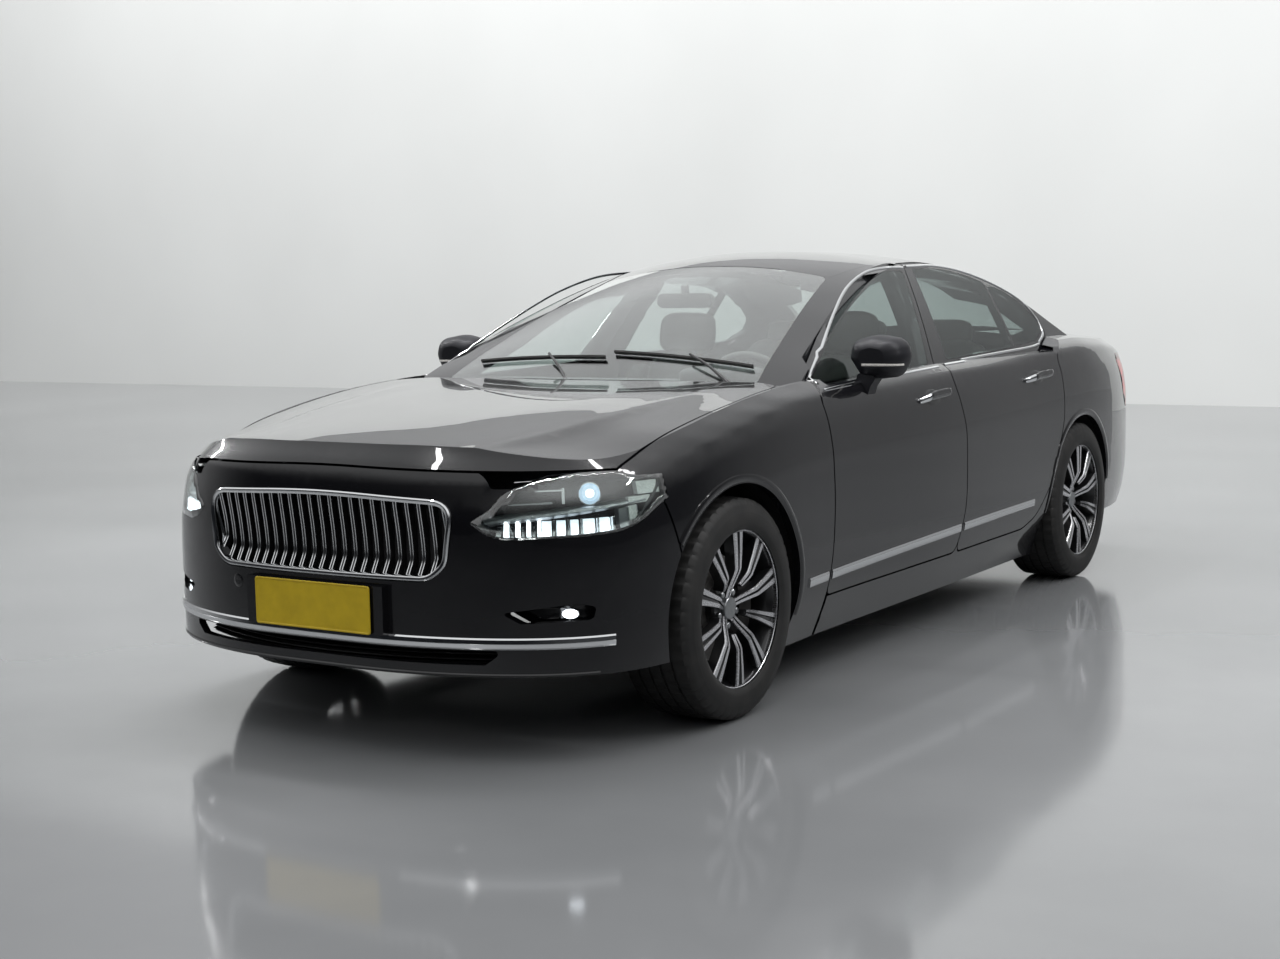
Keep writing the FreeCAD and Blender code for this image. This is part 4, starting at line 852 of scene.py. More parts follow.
backing = Builder()
rows = []
for k in range(13):
    t = k / 12
    row = []
    for p in frame_line:
        z = GRILLE_Z + (p.y - GRILLE_Z) * t
        row.append(Vector((p.x * t, nose_y(p.x * t, z) + 0.060, z)))
    rows.append(row)
backing.grid(rows, 0, closed=True)
backing.make("grille_backing", [black_plastic], "body")

# Headlamps: a clear moulded lens over a black bezel, with a satin blade through the middle.
# Daytime lights and their bright fins sit below the blade, and a projector above its outer part.
LAMP_AXIS = (0.45, -1.95)
LAMP_MIDDLE = (44.0, 0.712)
LAMP_REACH = 0.46
LAMP_RING = [(7.5, 0.682), (11.8, 0.717), (16.2, 0.758), (22.3, 0.783), (32.1, 0.809), (43.9, 0.809),
             (54.1, 0.789), (66.2, 0.786), (78.2, 0.782), (74.5, 0.738), (69.0, 0.703), (63.5, 0.668),
             (56.5, 0.648), (45.9, 0.643), (26.9, 0.638), (16.3, 0.638), (12.0, 0.651)]

lamp_black = surface("gloss black bezel", (50, 0.3, (0.005, 0.005, 0.006), 0.7, (0.008, 0.008, 0.009)),
                     Base_Color=(0.006, 0.006, 0.007), Roughness=0.12, Coat_Weight=0.5)

satin_blade = surface("satin blade", (60, 0.3, (0.42, 0.43, 0.45), 0.7, (0.48, 0.49, 0.51)),
                      Base_Color=(0.45, 0.46, 0.48), Metallic=0.9, Roughness=0.28)


def light_material(name, colour, power):
    """Glowing light guide, a little uneven along its length"""
    material, tree, shader = new_material(name)
    set_values(shader, Base_Color=(0.8, 0.8, 0.8), Roughness=0.4, Emission_Color=colour,
               Emission_Strength=power)
    low = tuple(0.75 * c for c in colour)
    mottled(tree, shader, "Emission Color", 90, 0.35, low, 0.65, colour)
    return material


day_light = light_material("daytime light", (0.88, 0.94, 1.0), 4.0)
cell_light = light_material("light cell", (0.80, 0.90, 1.0), 1.4)
soft_light = light_material("projector glow", (0.55, 0.78, 1.0), 0.9)

opal = surface("side reflector", (240, 0.35, (0.66, 0.67, 0.66), 0.6, (0.84, 0.85, 0.84), 0.0),
               Base_Color=(0.78, 0.79, 0.78), Roughness=0.22, Coat_Weight=0.6, grain=(240, 0.4, 0.002, 0.0))


def outer_faces(name, way):
    """Corner points of a CAD lens's outer face at one side: its largest patch that looks along a direction"""
    mesh = nodes[name].data
    work = bmesh.new()
    work.from_mesh(mesh)
    bmesh.ops.remove_doubles(work, verts=work.verts, dist=1e-6)
    seen = set()
    patches = []
    for face in work.faces:
        if face.index in seen:
            continue
        seen.add(face.index)
        patch = [face]
        queue = [face]
        while queue:
            here = queue.pop()
            for edge in here.edges:
                for other in edge.link_faces:
                    if other.index not in seen and other.normal.angle(here.normal) < 0.35:
                        seen.add(other.index)
                        patch.append(other)
                        queue.append(other)
        patches.append(patch)
    best = max(patches, key=lambda patch: sum(f.calc_area() * f.normal.dot(Vector(way)) for f in patch))
    polygons = [[v.co.copy() for v in face.verts] for face in best]
    work.free()
    return polygons


def lens_shell(name, polygons, material):
    """Lens from outer faces, thickened inward"""
    lens = Builder()
    for corners in polygons:
        lens.face([lens.point(c) for c in corners])
    mesh = bpy.data.meshes.new(name)
    mesh.from_pydata(lens.points, [], lens.faces)
    mesh.materials.append(material)
    work = bmesh.new()
    work.from_mesh(mesh)
    bmesh.ops.remove_doubles(work, verts=work.verts, dist=1e-5)
    work.to_mesh(mesh)
    work.free()
    piece = bpy.data.objects.new(name, mesh)
    scene.collection.objects.link(piece)
    thick = piece.modifiers.new("thick", "SOLIDIFY")
    thick.thickness = 0.003
    thick.offset = -1
    smooth_node(piece, 0.6)
    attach(piece, "body")
    return piece


def lamp_place(skin, sign, turn, z, deep):
    """Place inside a headlamp: degrees about the lamp's axis, height and depth behind the lens"""
    way = Vector((sign * math.sin(math.radians(turn)), -math.cos(math.radians(turn)), 0))
    for share in range(21):
        height = z + (LAMP_MIDDLE[1] - z) * share / 20
        place = skin.ray_cast(Vector((sign * LAMP_AXIS[0], LAMP_AXIS[1], height)), way)[0]
        if place is not None:
            spot = place - way * deep
            return Vector((spot.x, spot.y, z))
    middle = Vector((sign * LAMP_AXIS[0], LAMP_AXIS[1], z))
    return middle + way * (LAMP_REACH - deep)


def lamp_block(builder, skin, sign, turns, heights, depths, number, slope=0.0):
    """Block between two turns, heights and depths, with its upper and lower edges sloping up outward"""
    low, high = heights
    near, far = depths
    ring = [(low, far), (low, near + 0.001), (low + 0.001, near), (high - 0.001, near), (high, near + 0.001),
            (high, far)]
    rows = []
    steps = max(int((turns[1] - turns[0]) / 2.0), 1)
    for i in range(steps + 1):
        turn = turns[0] + (turns[1] - turns[0]) * i / steps
        lift = slope * (turn - turns[0])
        rows.append([lamp_place(skin, sign, turn, z + lift, deep) for z, deep in ring])
    builder.sweep(rows, number)


PROJECTOR_TURN = math.radians(30)
LAMP_TRAY = [(0.995, 0.006), (0.955, 0.010), (0.93, 0.030), (0.91, 0.062), (0.6, 0.066), (0.3, 0.066),
             (0.02, 0.066)]
LAMP_BLOCKS = [((13.0, 57.0), (0.6425, 0.6465), (0.016, 0.045), 2, 0.0),
               ((57.5, 66.0), (0.662, 0.706), (0.018, 0.045), 1, 0.0007),
               ((36.4, 37.4), (0.728, 0.772), (0.020, 0.050), 2, 0.0),
               ((27.0, 36.4), (0.762, 0.767), (0.024, 0.050), 2, 0.0),
               ((18.0, 33.0), (0.726, 0.731), (0.022, 0.050), 2, 0.0002),
               ((20.0, 40.0), (0.789, 0.792), (0.016, 0.050), 2, 0.0003),
               ((66.5, 77.4), (0.741, 0.777), (0.010, 0.030), 4, 0.0),
               ((62.0, 72.6), (0.716, 0.735), (0.014, 0.030), 4, 0.0002),
               ((61.5, 65.0), (0.672, 0.710), (0.012, 0.030), 4, 0.0009)]


def headlamp(side):
    """Lens, bezel and lights of one headlamp"""
    sign = SIDE_SIGN[side]
    outer = [p for p in outer_faces("headlamps", (0.3 * sign, -1, 0)) if sign * p[0].x > 0]
    lens = lens_shell("headlamp_lens_" + side, outer, front_glass)
    skin = tree_of(outer)
    inside = Builder()
    ring = spline_points([(turn, z * 100, 0) for turn, z in LAMP_RING + LAMP_RING[:1]], 96)[:-1]
    middle = Vector((LAMP_MIDDLE[0], LAMP_MIDDLE[1] * 100, 0))
    rows = []
    for size, deep in LAMP_TRAY:
        row = []
        for p in ring:
            q = middle + (p - middle) * size
            row.append(lamp_place(skin, sign, q.x, q.y / 100, deep))
        rows.append(row)
    inside.grid(rows, 0, closed=True)
    blade = []
    for k in range(25):
        t = k / 24
        turn = 9.5 + 60.5 * t
        top = 0.691 + 0.042 * t ** 0.85
        low = top - 0.027 + 0.012 * t
        nose = 0.012 + 0.008 * (1 - t)
        tall = top - low
        shape = [(low + 0.001, 0.060), (low, nose + 0.010), (low + 0.35 * tall, nose),
                 (low + 0.5 * tall, nose - 0.001), (top - 0.2 * tall, nose + 0.004), (top, nose + 0.014),
                 (top, 0.060)]
        blade.append([lamp_place(skin, sign, turn, z, deep) for z, deep in shape])
    inside.sweep(blade, 1)
    edges = [13.0, 17.4, 21.2, 24.8, 28.4, 33.4, 38.4, 43.0, 49.0, 55.0]
    for i in range(9):
        lit = i >= 4
        near, far = edges[i:i + 2]
        rise = 0.0006 * i
        lamp_block(inside, skin, sign, (near + 0.9, far - 0.9), (0.649, 0.678 + rise), (0.026, 0.040),
                   6 if lit else 0)
        lamp_block(inside, skin, sign, (near + 1.4, far - 1.4), (0.653, 0.668), (0.022, 0.040),
                   3 if lit else 2)
        lamp_block(inside, skin, sign, (far - 0.4, far + 0.4), (0.647, 0.682 + rise), (0.014, 0.040),
                   2 if lit else 3)
    for turns, heights, depths, number, slope in LAMP_BLOCKS:
        lamp_block(inside, skin, sign, turns, heights, depths, number, slope)
    bowl = Builder()
    revolved(bowl, [(0.000, 0.0310), (0.004, 0.0330), (0.006, 0.0300), (-0.010, 0.0240), (-0.016, 0.0225)],
             32, 0)
    revolved(bowl, [(-0.016, 0.0225), (-0.008, 0.0190), (-0.004, 0.0120)], 32, 1)
    revolved(bowl, [(-0.004, 0.0120), (-0.001, 0.0080), (0.0, 0.0001)], 32, 2)
    spot = lamp_place(skin, sign, 47.0, 0.752, 0.030)
    out = Vector((sign * math.sin(PROJECTOR_TURN), -math.cos(PROJECTOR_TURN), 0))
    across = Vector((-out.y, out.x, 0))
    inside.take_in(bowl, lambda x, y, z: spot + out * x + across * y + Vector((0, 0, z)), [2, 5, 3])
    looks = [lamp_black, satin_blade, chrome, day_light, opal, soft_light, cell_light]
    inside.make("headlamp_inside_" + side, looks, "body", 0.6)
    return lens


lamp_lenses = [headlamp(side) for side in SIDE_SIGN]
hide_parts("headlamps")

# Tail lamps: a dark red lens over a black tray, with a glowing red bracket that follows the lamp's shape.
tail_glow = light_material("tail light", (1.0, 0.03, 0.02), 1.2)
TAIL_AXIS = (0.56, 1.98)
TAIL_BRACKET = [(9, 91.2), (30, 91.2), (46, 90.6), (52, 86.0), (49, 80.0), (42, 75.4), (30, 74.6), (9, 74.6)]


def tail_place(skin, sign, turn, z, deep):
    """Place behind a tail lamp's lens, by degrees from straight back and height"""
    way = Vector((sign * math.sin(math.radians(turn)), math.cos(math.radians(turn)), 0))
    place = skin.ray_cast(Vector((sign * TAIL_AXIS[0], TAIL_AXIS[1], z)), way)[0]
    return place - way * deep if place is not None else None


def tail_lamp(side):
    """Lens, tray and light bracket of one tail lamp"""
    sign = SIDE_SIGN[side]
    outer = [p for p in outer_faces("tail_lamps", (0.6 * sign, 1, 0)) if sign * p[0].x > 0]
    lens = lens_shell("tail_lens_" + side, outer, lamp_red)
    tray = Builder()
    for corners in outer:
        tray.face([tray.point(c) for c in corners])
    shift = Vector((-sign * 0.022, -0.022, 0))
    tray.points = [Vector(p) + shift for p in tray.points]
    tray.make("tail_tray_" + side, [lamp_black], "body")
    skin = tree_of(outer)
    glow = Builder()
    bracket = spline_points([(turn, height, 0) for turn, height in TAIL_BRACKET], 60)
    path = [tail_place(skin, sign, p.x, p.y / 100, 0.012) for p in bracket]
    rod(glow, [p for p in path if p is not None], 0.0055, 0, 8)
    glow.make("tail_light_" + side, [tail_glow], "body", 0.9)
    return lens


tail_lenses = [tail_lamp(side) for side in SIDE_SIGN]
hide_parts("tail_lamps")

# Bumper trim: a bright strip across the nose, black slats in the low intake and a fog lamp at each side.
# A blank yellow plate stands on the front bumper, and another in the boot lid's recess.
nose_skin = skin_tree(["front_bumper"])


def fan_path(skin, centre, reach, count, forward, far=2.2):
    """Points and outward directions on a skin, from rays that fan round an upright axis between two turns"""
    path = []
    outs = []
    for i in range(count):
        turn = math.radians(reach[0] + (reach[1] - reach[0]) * i / (count - 1))
        out = Vector((math.sin(turn), forward * math.cos(turn), 0))
        hit = skin_hit(skin, Vector(centre) + out * far, -out)
        if hit:
            path.append(hit[0])
            outs.append(out)
    return path, outs


strip = Builder()
path, outs = fan_path(nose_skin, (0, -1.2, 0.3415), (-39, 39), 120, -1)
ribbon(strip, path, outs,
       [(-0.0155, -0.003), (-0.0165, 0.001), (-0.0120, 0.0045), (-0.0010, 0.0060),
        (0.0010, 0.0075), (0.0120, 0.0060), (0.0165, 0.0030), (0.0160, -0.003)])
strip.make("bumper_strip", [chrome], "body", 0.35)

low_edge = Builder()
path, outs = fan_path(nose_skin, (0, -1.2, 0.2520), (-37, 37), 100, -1)
ribbon(low_edge, path, outs,
       [(-0.0030, -0.004), (-0.0040, 0.002), (0.0, 0.0040), (0.0040, 0.002), (0.0030, -0.004)])
low_edge.make("lip_edge", [lamp_black], "body", 0.6)

INTAKE_Y = -2.505
SLAT_HALF = 0.60
SLAT_SECTION = [(-0.002, 0.0), (0.0, 0.0022), (0.030, 0.0050), (0.030, 0.0020), (0.0, -0.0022)]


def intake_bow(x):
    """How far back the low intake lies at a place across it"""
    return 0.30 * (x / 0.85) ** 2


slats = Builder()
for height in (0.268, 0.284, 0.300, 0.316):
    rows = []
    for i in range(61):
        x = SLAT_HALF * (i / 30 - 1)
        y = INTAKE_Y + intake_bow(x)
        rows.append([Vector((x, y + a, height + b)) for a, b in SLAT_SECTION])
    slats.sweep(rows)
slats.make("intake_slats", [black_plastic], "body", 0.5)


def fog_lamp(side):
    """Black recess with a bright lamp at its outer end"""
    sign = SIDE_SIGN[side]
    fog = Builder()
    out = Vector((sign * 0.42, -0.907, 0)).normalized()
    across = Vector((-out.y, out.x, 0))
    spot = Vector((sign * 0.735, -2.305, 0.420))
    shapes = [(0.026, 0.016, 0.0), (0.026, 0.016, 0.014), (0.0235, 0.0138, 0.016), (0.021, 0.012, 0.010),
              (0.015, 0.0085, 0.0145), (0.007, 0.004, 0.0165), (0.0002, 0.0001, 0.0168)]
    rows = [[spot + across * a * wide + Vector((0, 0, b * high)) + out * deep for a, b in circle(24)]
            for wide, high, deep in shapes]
    fog.grid(rows[:2], 0, closed=True)
    fog.grid(rows[1:4], 1, closed=True)
    fog.grid(rows[3:], 2, closed=True)
    fog.make("fog_lamp_" + side, [lamp_black, chrome, day_light], "body", 0.5)


for side in SIDE_SIGN:
    fog_lamp(side)

FOG_RING = [(0.584, 0.431, 0.006), (0.770, 0.457, 0.010), (0.812, 0.443, 0.012), (0.806, 0.398, 0.012),
            (0.638, 0.392, 0.010)]


def fog_pocket(side):
    """Closed black pocket behind a fog lamp's cut in the bumper"""
    sign = SIDE_SIGN[side]
    pocket = Builder()
    line = even_line(rounded(FOG_RING, 5), 60)
    middle = Vector((0.70, 0.425))
    rows = []
    for size, deep in ((1.0, 0.004), (0.98, 0.030), (0.90, 0.046), (0.5, 0.050), (0.02, 0.050)):
        row = []
        for p in line:
            q = middle + (p - middle) * size
            past = max(q.x - 0.60, 0)
            y = NOSE_Y + 0.150 * min(q.x / 0.60, 1) ** 2 + 0.62 * past + 1.2 * past ** 2
            row.append(Vector((sign * q.x, y + deep, q.y)))
        rows.append(row)
    pocket.grid(rows, 0, closed=True)
    pocket.make("fog_pocket_" + side, [lamp_black], "body", 0.7)


for side in SIDE_SIGN:
    fog_pocket(side)

BACKING_HALF = 0.66
BACKING_Y = -2.450
backing = Builder()
rows = []
for i in range(41):
    x = BACKING_HALF * (i / 20 - 1)
    y = BACKING_Y + intake_bow(x)
    rows.append([Vector((x, y - 0.045, 0.332)), Vector((x, y, 0.330)), Vector((x, y, 0.268)),
                 Vector((x, y - 0.040, 0.262))])
backing.grid(rows, 0)
backing.make("intake_backing", [black_plastic], "body", 0.5)

TOW_CAP = 0.026
TOW_SPOT = (-0.33, 0.47)
FAR = 3.0


def tow_cap(end, way):
    """Painted round cap over a tow eye's hole, flush with its bumper"""
    skin = skin_tree([end + "_bumper"])
    spot = Vector((TOW_SPOT[0], 0, TOW_SPOT[1]))
    start = Vector((0, way * FAR, 0))
    cap = Builder()
    rows = []
    for reach, deep in ((0.0215, -0.004), (0.0215, 0.0006), (0.0205, 0.0012), (0.012, 0.0012),
                        (0.0002, 0.0012)):
        share = 0.5 + 0.5 * reach / TOW_CAP
        row = []
        for a, b in circle(36):
            around = Vector((a, 0, b))
            near, far = [skin_hit(skin, spot + around * edge + start, (0, -way, 0))[0].y
                         for edge in (TOW_CAP, -TOW_CAP)]
            y = near * share + far * (1 - share) + way * deep
            row.append(spot + around * reach + Vector((0, y, 0)))
        rows.append(row)
    cap.grid(rows, 0, closed=True)
    cap.make("tow_cap_" + end, [paint], "body", 0.7)


tow_cap("front", -1)
tow_cap("rear", 1)

plate_yellow = surface("plate yellow", (26, 0.3, (0.57, 0.40, 0.010), 0.7, (0.66, 0.47, 0.014), 4.0),
                       Base_Color=(0.62, 0.44, 0.012), Roughness=0.38, grain=(1500, 0.06, 0.0003, 0.0))
PLATE_HALF = (0.220, 0.070)
PLATE_CORNER = 0.010


def blank_plate(name, middle, out):
    """Blank pressed plate with a raised rim"""
    plate = Builder()
    wide, high = PLATE_HALF
    line = rounded([(a * wide, b * high, PLATE_CORNER) for a, b in ((-1, -1), (1, -1), (1, 1), (-1, 1))], 6)
    rows = []
    for inset, deep in ((0.0, 0.0), (0.0, 0.0016), (0.0012, 0.0030), (0.0042, 0.0030), (0.0058, 0.0016)):
        row = []
        for p in line:
            a = p.x * (1 - inset / wide)
            b = p.y * (1 - inset / high)
            row.append(middle + Vector((a, out * deep, b)))
        rows.append(row)
    plate.sweep(rows)
    plate.make(name, [plate_yellow], "body" if out < 0 else "boot_lid", 0.5)


blank_plate("plate_front_blank", Vector((0, -2.5625, 0.426)), -1)
blank_plate("plate_rear_blank", Vector((0, 2.5625, 0.785)), 1)

# Wipers: two black arms that rise from the cowl and hold rubber blades on the windscreen.
BLADE_SECTION = [(-0.005, 0.006), (-0.0015, -0.004), (0.0, -0.0075), (0.0015, -0.004), (0.005, 0.006),
                 (0.0, 0.010)]
screen_skin = skin_tree(["windscreen"])


def screen_place(x, y, lift):
    """Place above the windscreen at a plan position"""
    hit = skin_hit(screen_skin, (x, y, 2.0), (0, 0, -1))
    return hit[0] + hit[1] * lift if hit else Vector((x, y, 1.0 + lift))


def wiper(name, pivot, near, far):
    """Arm from its pivot to the middle of a blade between two plan places on the windscreen"""
    wipe = Builder()
    ends = [Vector(near), Vector(far)]
    blade = [screen_place(*ends[0].lerp(ends[1], k / 16).xy, 0.009) for k in range(17)]
    ribbon(wipe, blade, [Vector((0, -0.45, 0.9))] * 17, BLADE_SECTION, 1)
    start = Vector(pivot)
    rise = start + Vector((0, -0.004, 0.020))
    middle = blade[7] + Vector((0, -0.006, 0.016))
    arm = spline_points([start, rise, rise.lerp(middle, 0.5) + Vector((0, 0, 0.010)), middle], 18)
    rod(wipe, arm, [0.011 - 0.006 * min(k / 8, 1) for k in range(18)], 0)
    wipe.make(name, [black_plastic, tyre_rubber], "body", 0.6)


wiper("wiper_left", (0.56, -1.075, 0.965), (0.60, -0.985, 0), (0.02, -0.955, 0))
wiper("wiper_right", (-0.10, -1.085, 0.965), (0.00, -0.985, 0), (-0.56, -0.975, 0))

# Door handles: body-coloured pulls with a bright front cap, each over a dark gloss patch on the door skin
# that is painted shade for the handle's recess.
HANDLES = {"front": [(-0.306, 0.888), (-0.240, 0.897), (-0.150, 0.9005), (-0.049, 0.904)],
           "rear": [(0.743, 0.905), (0.840, 0.913), (0.930, 0.917), (1.023, 0.920)]}
HANDLE_RISE = 0.034
HANDLE_HALF = 0.0165
HANDLE_THICK = 0.0078
HANDLE_SHADE_PATCH = (0.062, 0.030)


def door_handle(which, side):
    """Pull that stands off the door between its two feet, over a dark patch of painted shade"""
    line = spline_points([(0, y, z) for y, z in HANDLES[which]], 40)
    pull = Builder()
    rows = []
    tip = 0
    for i, p in enumerate(line):
        t = i / 39
        hit = side_hit(side_skin[side], side, p.y, p.z)
        if not hit:
            continue
        place, out = hit
        rise = HANDLE_RISE * min(1, 6 * t) ** 0.7 * min(1, 6 * (1 - t)) ** 0.7
        up = Vector((0, 0, HANDLE_HALF * (1 - 0.40 * abs(2 * t - 1) ** 3)))
        rows.append([place + out * (rise - 0.006) + up * a + out * HANDLE_THICK * b for a, b in circle(14)])
        tip += t < 0.14
    first = pull.grid(rows[:tip + 1], 1, closed=True)
    last = pull.grid(rows[tip:], 0, closed=True)
    pull.face(reversed(first[0]), 1)
    pull.face(last[-1], 0)
    body = "door_" + which + "_" + side
    pull.make("handle_" + which + "_" + side, [paint, chrome], body, 0.7)
    # Painted shade: a dark gloss patch lying on the door skin where the handle's recess would be in shadow
    shade_patch = Builder()
    middle = line[17]
    rows = []
    for size, lift in ((1.0, 0.0002), (0.93, 0.0010), (0.6, 0.0006), (0.3, 0.0004), (0.02, 0.0004)):
        row = []
        for a, b in circle(36):
            y = middle.y + HANDLE_SHADE_PATCH[0] * size * a
            z = middle.z - 0.004 + HANDLE_SHADE_PATCH[1] * size * b
            place, out = side_hit(side_skin[side], side, y, z)
            row.append(place + out * lift)
        rows.append(row)
    shade_patch.grid(rows, 0, closed=True)
    shade_patch.make("handle_shade_patch_" + which + "_" + side, [lamp_black], body, 0.7)


for which in HANDLES:
    for side in SIDE_SIGN:
        door_handle(which, side)

# Seats: leather pads over foam, sewn from a centre panel with cross channels and raised side bolsters.
# Each pad is a crowned closed form with sunk seams, and plastic shells close the seats' backs and sides.
seat_shell = surface("seat shell", (380, 0.3, (0.018, 0.017, 0.017), 0.7, (0.027, 0.026, 0.026), 2.0),
                     Base_Color=(0.022, 0.021, 0.021), Roughness=0.5, grain=(380, 0.2, 0.0005, 2.0))


def pad(builder, place, tilt, half, puff, channels=(), number=0, steps=(22, 30, 8), power=5.0):
    """Stuffed pad: a rounded box that swells on its faces, with channels across it, at a place and tilt"""
    turn = Matrix.Rotation(tilt, 3, "X")
    centre = Vector(place)
    sides = [(0, 1, 2, 1), (0, 1, 2, -1), (1, 2, 0, 1), (1, 2, 0, -1), (0, 2, 1, 1), (0, 2, 1, -1)]
    for first, second, fixed, way in sides:
        rows = []
        for i in range(steps[first] + 1):
            row = []
            for j in range(steps[second] + 1):
                unit = [0.0, 0.0, 0.0]
                unit[first] = math.sin((2 * i / steps[first] - 1) * math.pi / 2 * 0.999)
                unit[second] = math.sin((2 * j / steps[second] - 1) * math.pi / 2 * 0.999)
                unit[fixed] = way
                size = sum(abs(c) ** power for c in unit) ** (1 / power)
                unit = [c / size for c in unit]
                x, y, z = unit
                crown = puff * (1 - x * x) * (1 - y * y)
                pull = 1 - 0.035 * (1 - abs(x) ** 2) * abs(y) ** 6 - 0.035 * (1 - abs(y) ** 2) * abs(x) ** 6
                dent = sum(0.0055 * math.exp(-((y - c) / 0.028) ** 2) for c in channels) * (1 - abs(x) ** 8)
                point = Vector((x * half[0] * pull, y * half[1] * pull, z * half[2]))
                if z > 0:
                    point.z += crown - dent
                fold = noise.noise(Vector((point.x * 9 + place[0], point.y * 9, place[2] * 3))) * 0.0022
                point.z += fold * (1 if z > 0 else 0)
                row.append(centre + turn @ point)
            rows.append(row)
        builder.grid(rows, number)


SEAT_RODS = [(0.050, (0.185, 0.985), (0.210, 1.100), 0.006, 12),
             (0.170, (-0.420, 0.245), (0.055, 0.245), 0.016, 6),
             (0.170, (-0.330, 0.245), (-0.330, 0.400), 0.014, 8),
             (0.170, (0.000, 0.245), (0.000, 0.400), 0.014, 8)]


def front_seat(side):
    """Cushion, back, headrest, shells and runners of one front seat"""
    x = SIDE_SIGN[side] * 0.370
    soft = Builder()
    cross = (-0.55, -0.18, 0.18, 0.55)
    pad(soft, (x, -0.205, 0.470), 0.10, (0.158, 0.245, 0.060), 0.016, cross)
    for way in (-1, 1):
        pad(soft, (x + way * 0.195, -0.215, 0.478), 0.10, (0.045, 0.240, 0.072), 0.010, (), 0, (10, 26, 8))
        pad(soft, (x + way * 0.187, 0.085, 0.745), 1.335, (0.043, 0.255, 0.060), 0.012, (), 0, (10, 26, 8))
    pad(soft, (x, 0.090, 0.760), 1.335, (0.150, 0.285, 0.048), 0.016, (-0.6, -0.3, 0.0, 0.3, 0.6))
    pad(soft, (x, 0.205, 1.118), 1.42, (0.132, 0.088, 0.044), 0.014, (), 0, (20, 14, 8), 3.4)
    cushion = soft.make("seat_pads_" + side, [leather], "body", 0.9)
    hard = Builder()
    pad(hard, (x, 0.143, 0.735), 1.335, (0.205, 0.270, 0.022), 0.004, (), 0, (16, 20, 4), 8.0)
    for way in (-1, 1):
        pad(hard, (x + way * 0.228, -0.200, 0.380), 0.04, (0.012, 0.225, 0.062), 0.0, (), 0, (4, 16, 8), 8.0)
        for across, start, end, radius, sides in SEAT_RODS:
            rod(hard, [Vector((x + way * across, *start)), Vector((x + way * across, *end))], radius, 1,
                sides)
    hard.make("seat_frame_" + side, [seat_shell, dull_steel], "body", 0.6)
    return cushion


front_pads = [front_seat(side) for side in SIDE_SIGN]
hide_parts("front_seats")

bench = Builder()
for x, half in ((-0.385, 0.205), (0.0, 0.165), (0.385, 0.205)):
    pad(bench, (x, 0.700, 0.440), 0.06, (half, 0.235, 0.072), 0.016, (-0.4, 0.0, 0.4))
    pad(bench, (x, 1.045, 0.770), 1.29, (half - 0.006, 0.300, 0.060), 0.016, (-0.5, -0.17, 0.17, 0.5))
for x, half in ((-0.385, 0.120), (0.0, 0.090), (0.385, 0.120)):
    pad(bench, (x, 1.165, 1.082), 1.40, (half, 0.062, 0.040), 0.012, (), 0, (18, 12, 8), 3.4)
bench_piece = bench.make("rear_bench_pads", [leather], "body", 0.9)
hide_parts("rear_seat")
bench_base = Builder()
pad(bench_base, (0.0, 0.700, 0.365), 0.0, (0.590, 0.215, 0.030), 0.0, (), 0, (30, 14, 4), 10.0)
pad(bench_base, (0.0, 1.130, 0.770), 1.29, (0.575, 0.290, 0.022), 0.0, (), 0, (30, 14, 4), 10.0)
bench_base.make("rear_bench_base", [seat_shell], "body", 0.6)

# Linings: cloth under the roof, carpet on the floor and trimmed panels inside the doors.
roof_cloth = surface("roof cloth", (900, 0.3, (0.38, 0.38, 0.36), 0.7, (0.46, 0.46, 0.44), 2.0),
                     Base_Color=(0.42, 0.42, 0.40), Roughness=0.9, grain=(900, 0.3, 0.0005, 2.0))

carpet = surface("carpet", (1100, 0.3, (0.012, 0.012, 0.013), 0.7, (0.032, 0.032, 0.033), 3.0),
                 Base_Color=(0.020, 0.020, 0.021), Roughness=0.95, grain=(1100, 0.8, 0.002, 3.0))
LINING_LIFT = 0.006


def lining(name, node_names, xs, ys, start_z, way_z, material):
    """Sheet that follows CAD nodes above or below a grid of places"""
    skin = skin_tree(node_names)
    sheet = Builder()
    ids = {}
    for i, x in enumerate(xs):
        for j, y in enumerate(ys):
            hit = skin_hit(skin, (x, y, start_z), (0, 0, way_z))
            if hit:
                ids[i, j] = sheet.point(hit[0] - Vector((0, 0, way_z * LINING_LIFT)))
    for i in range(len(xs) - 1):
        for j in range(len(ys) - 1):
            corners = [(i, j), (i + 1, j), (i + 1, j + 1), (i, j + 1)]
            if all(c in ids for c in corners):
                zs = [sheet.points[ids[c]][2] for c in corners]
                if max(zs) - min(zs) < 0.05:
                    sheet.face([ids[c] for c in corners])
    sheet.make(name, [material], "body", 1.0)


def steps_between(low, high, count):
    """Evenly spaced numbers"""
    return [low + (high - low) * i / (count - 1) for i in range(count)]


lining("roof_lining", ["roof_panel"], steps_between(-0.56, 0.56, 29), steps_between(-0.20, 1.22, 36), 1.0, 1,
       roof_cloth)
for side, sign in SIDE_SIGN.items():
    lining("carpet_" + side, ["floor_pan"], steps_between(sign * 0.14, sign * 0.66, 14),
           steps_between(-1.02, 0.44, 30), 0.60, -1, carpet)


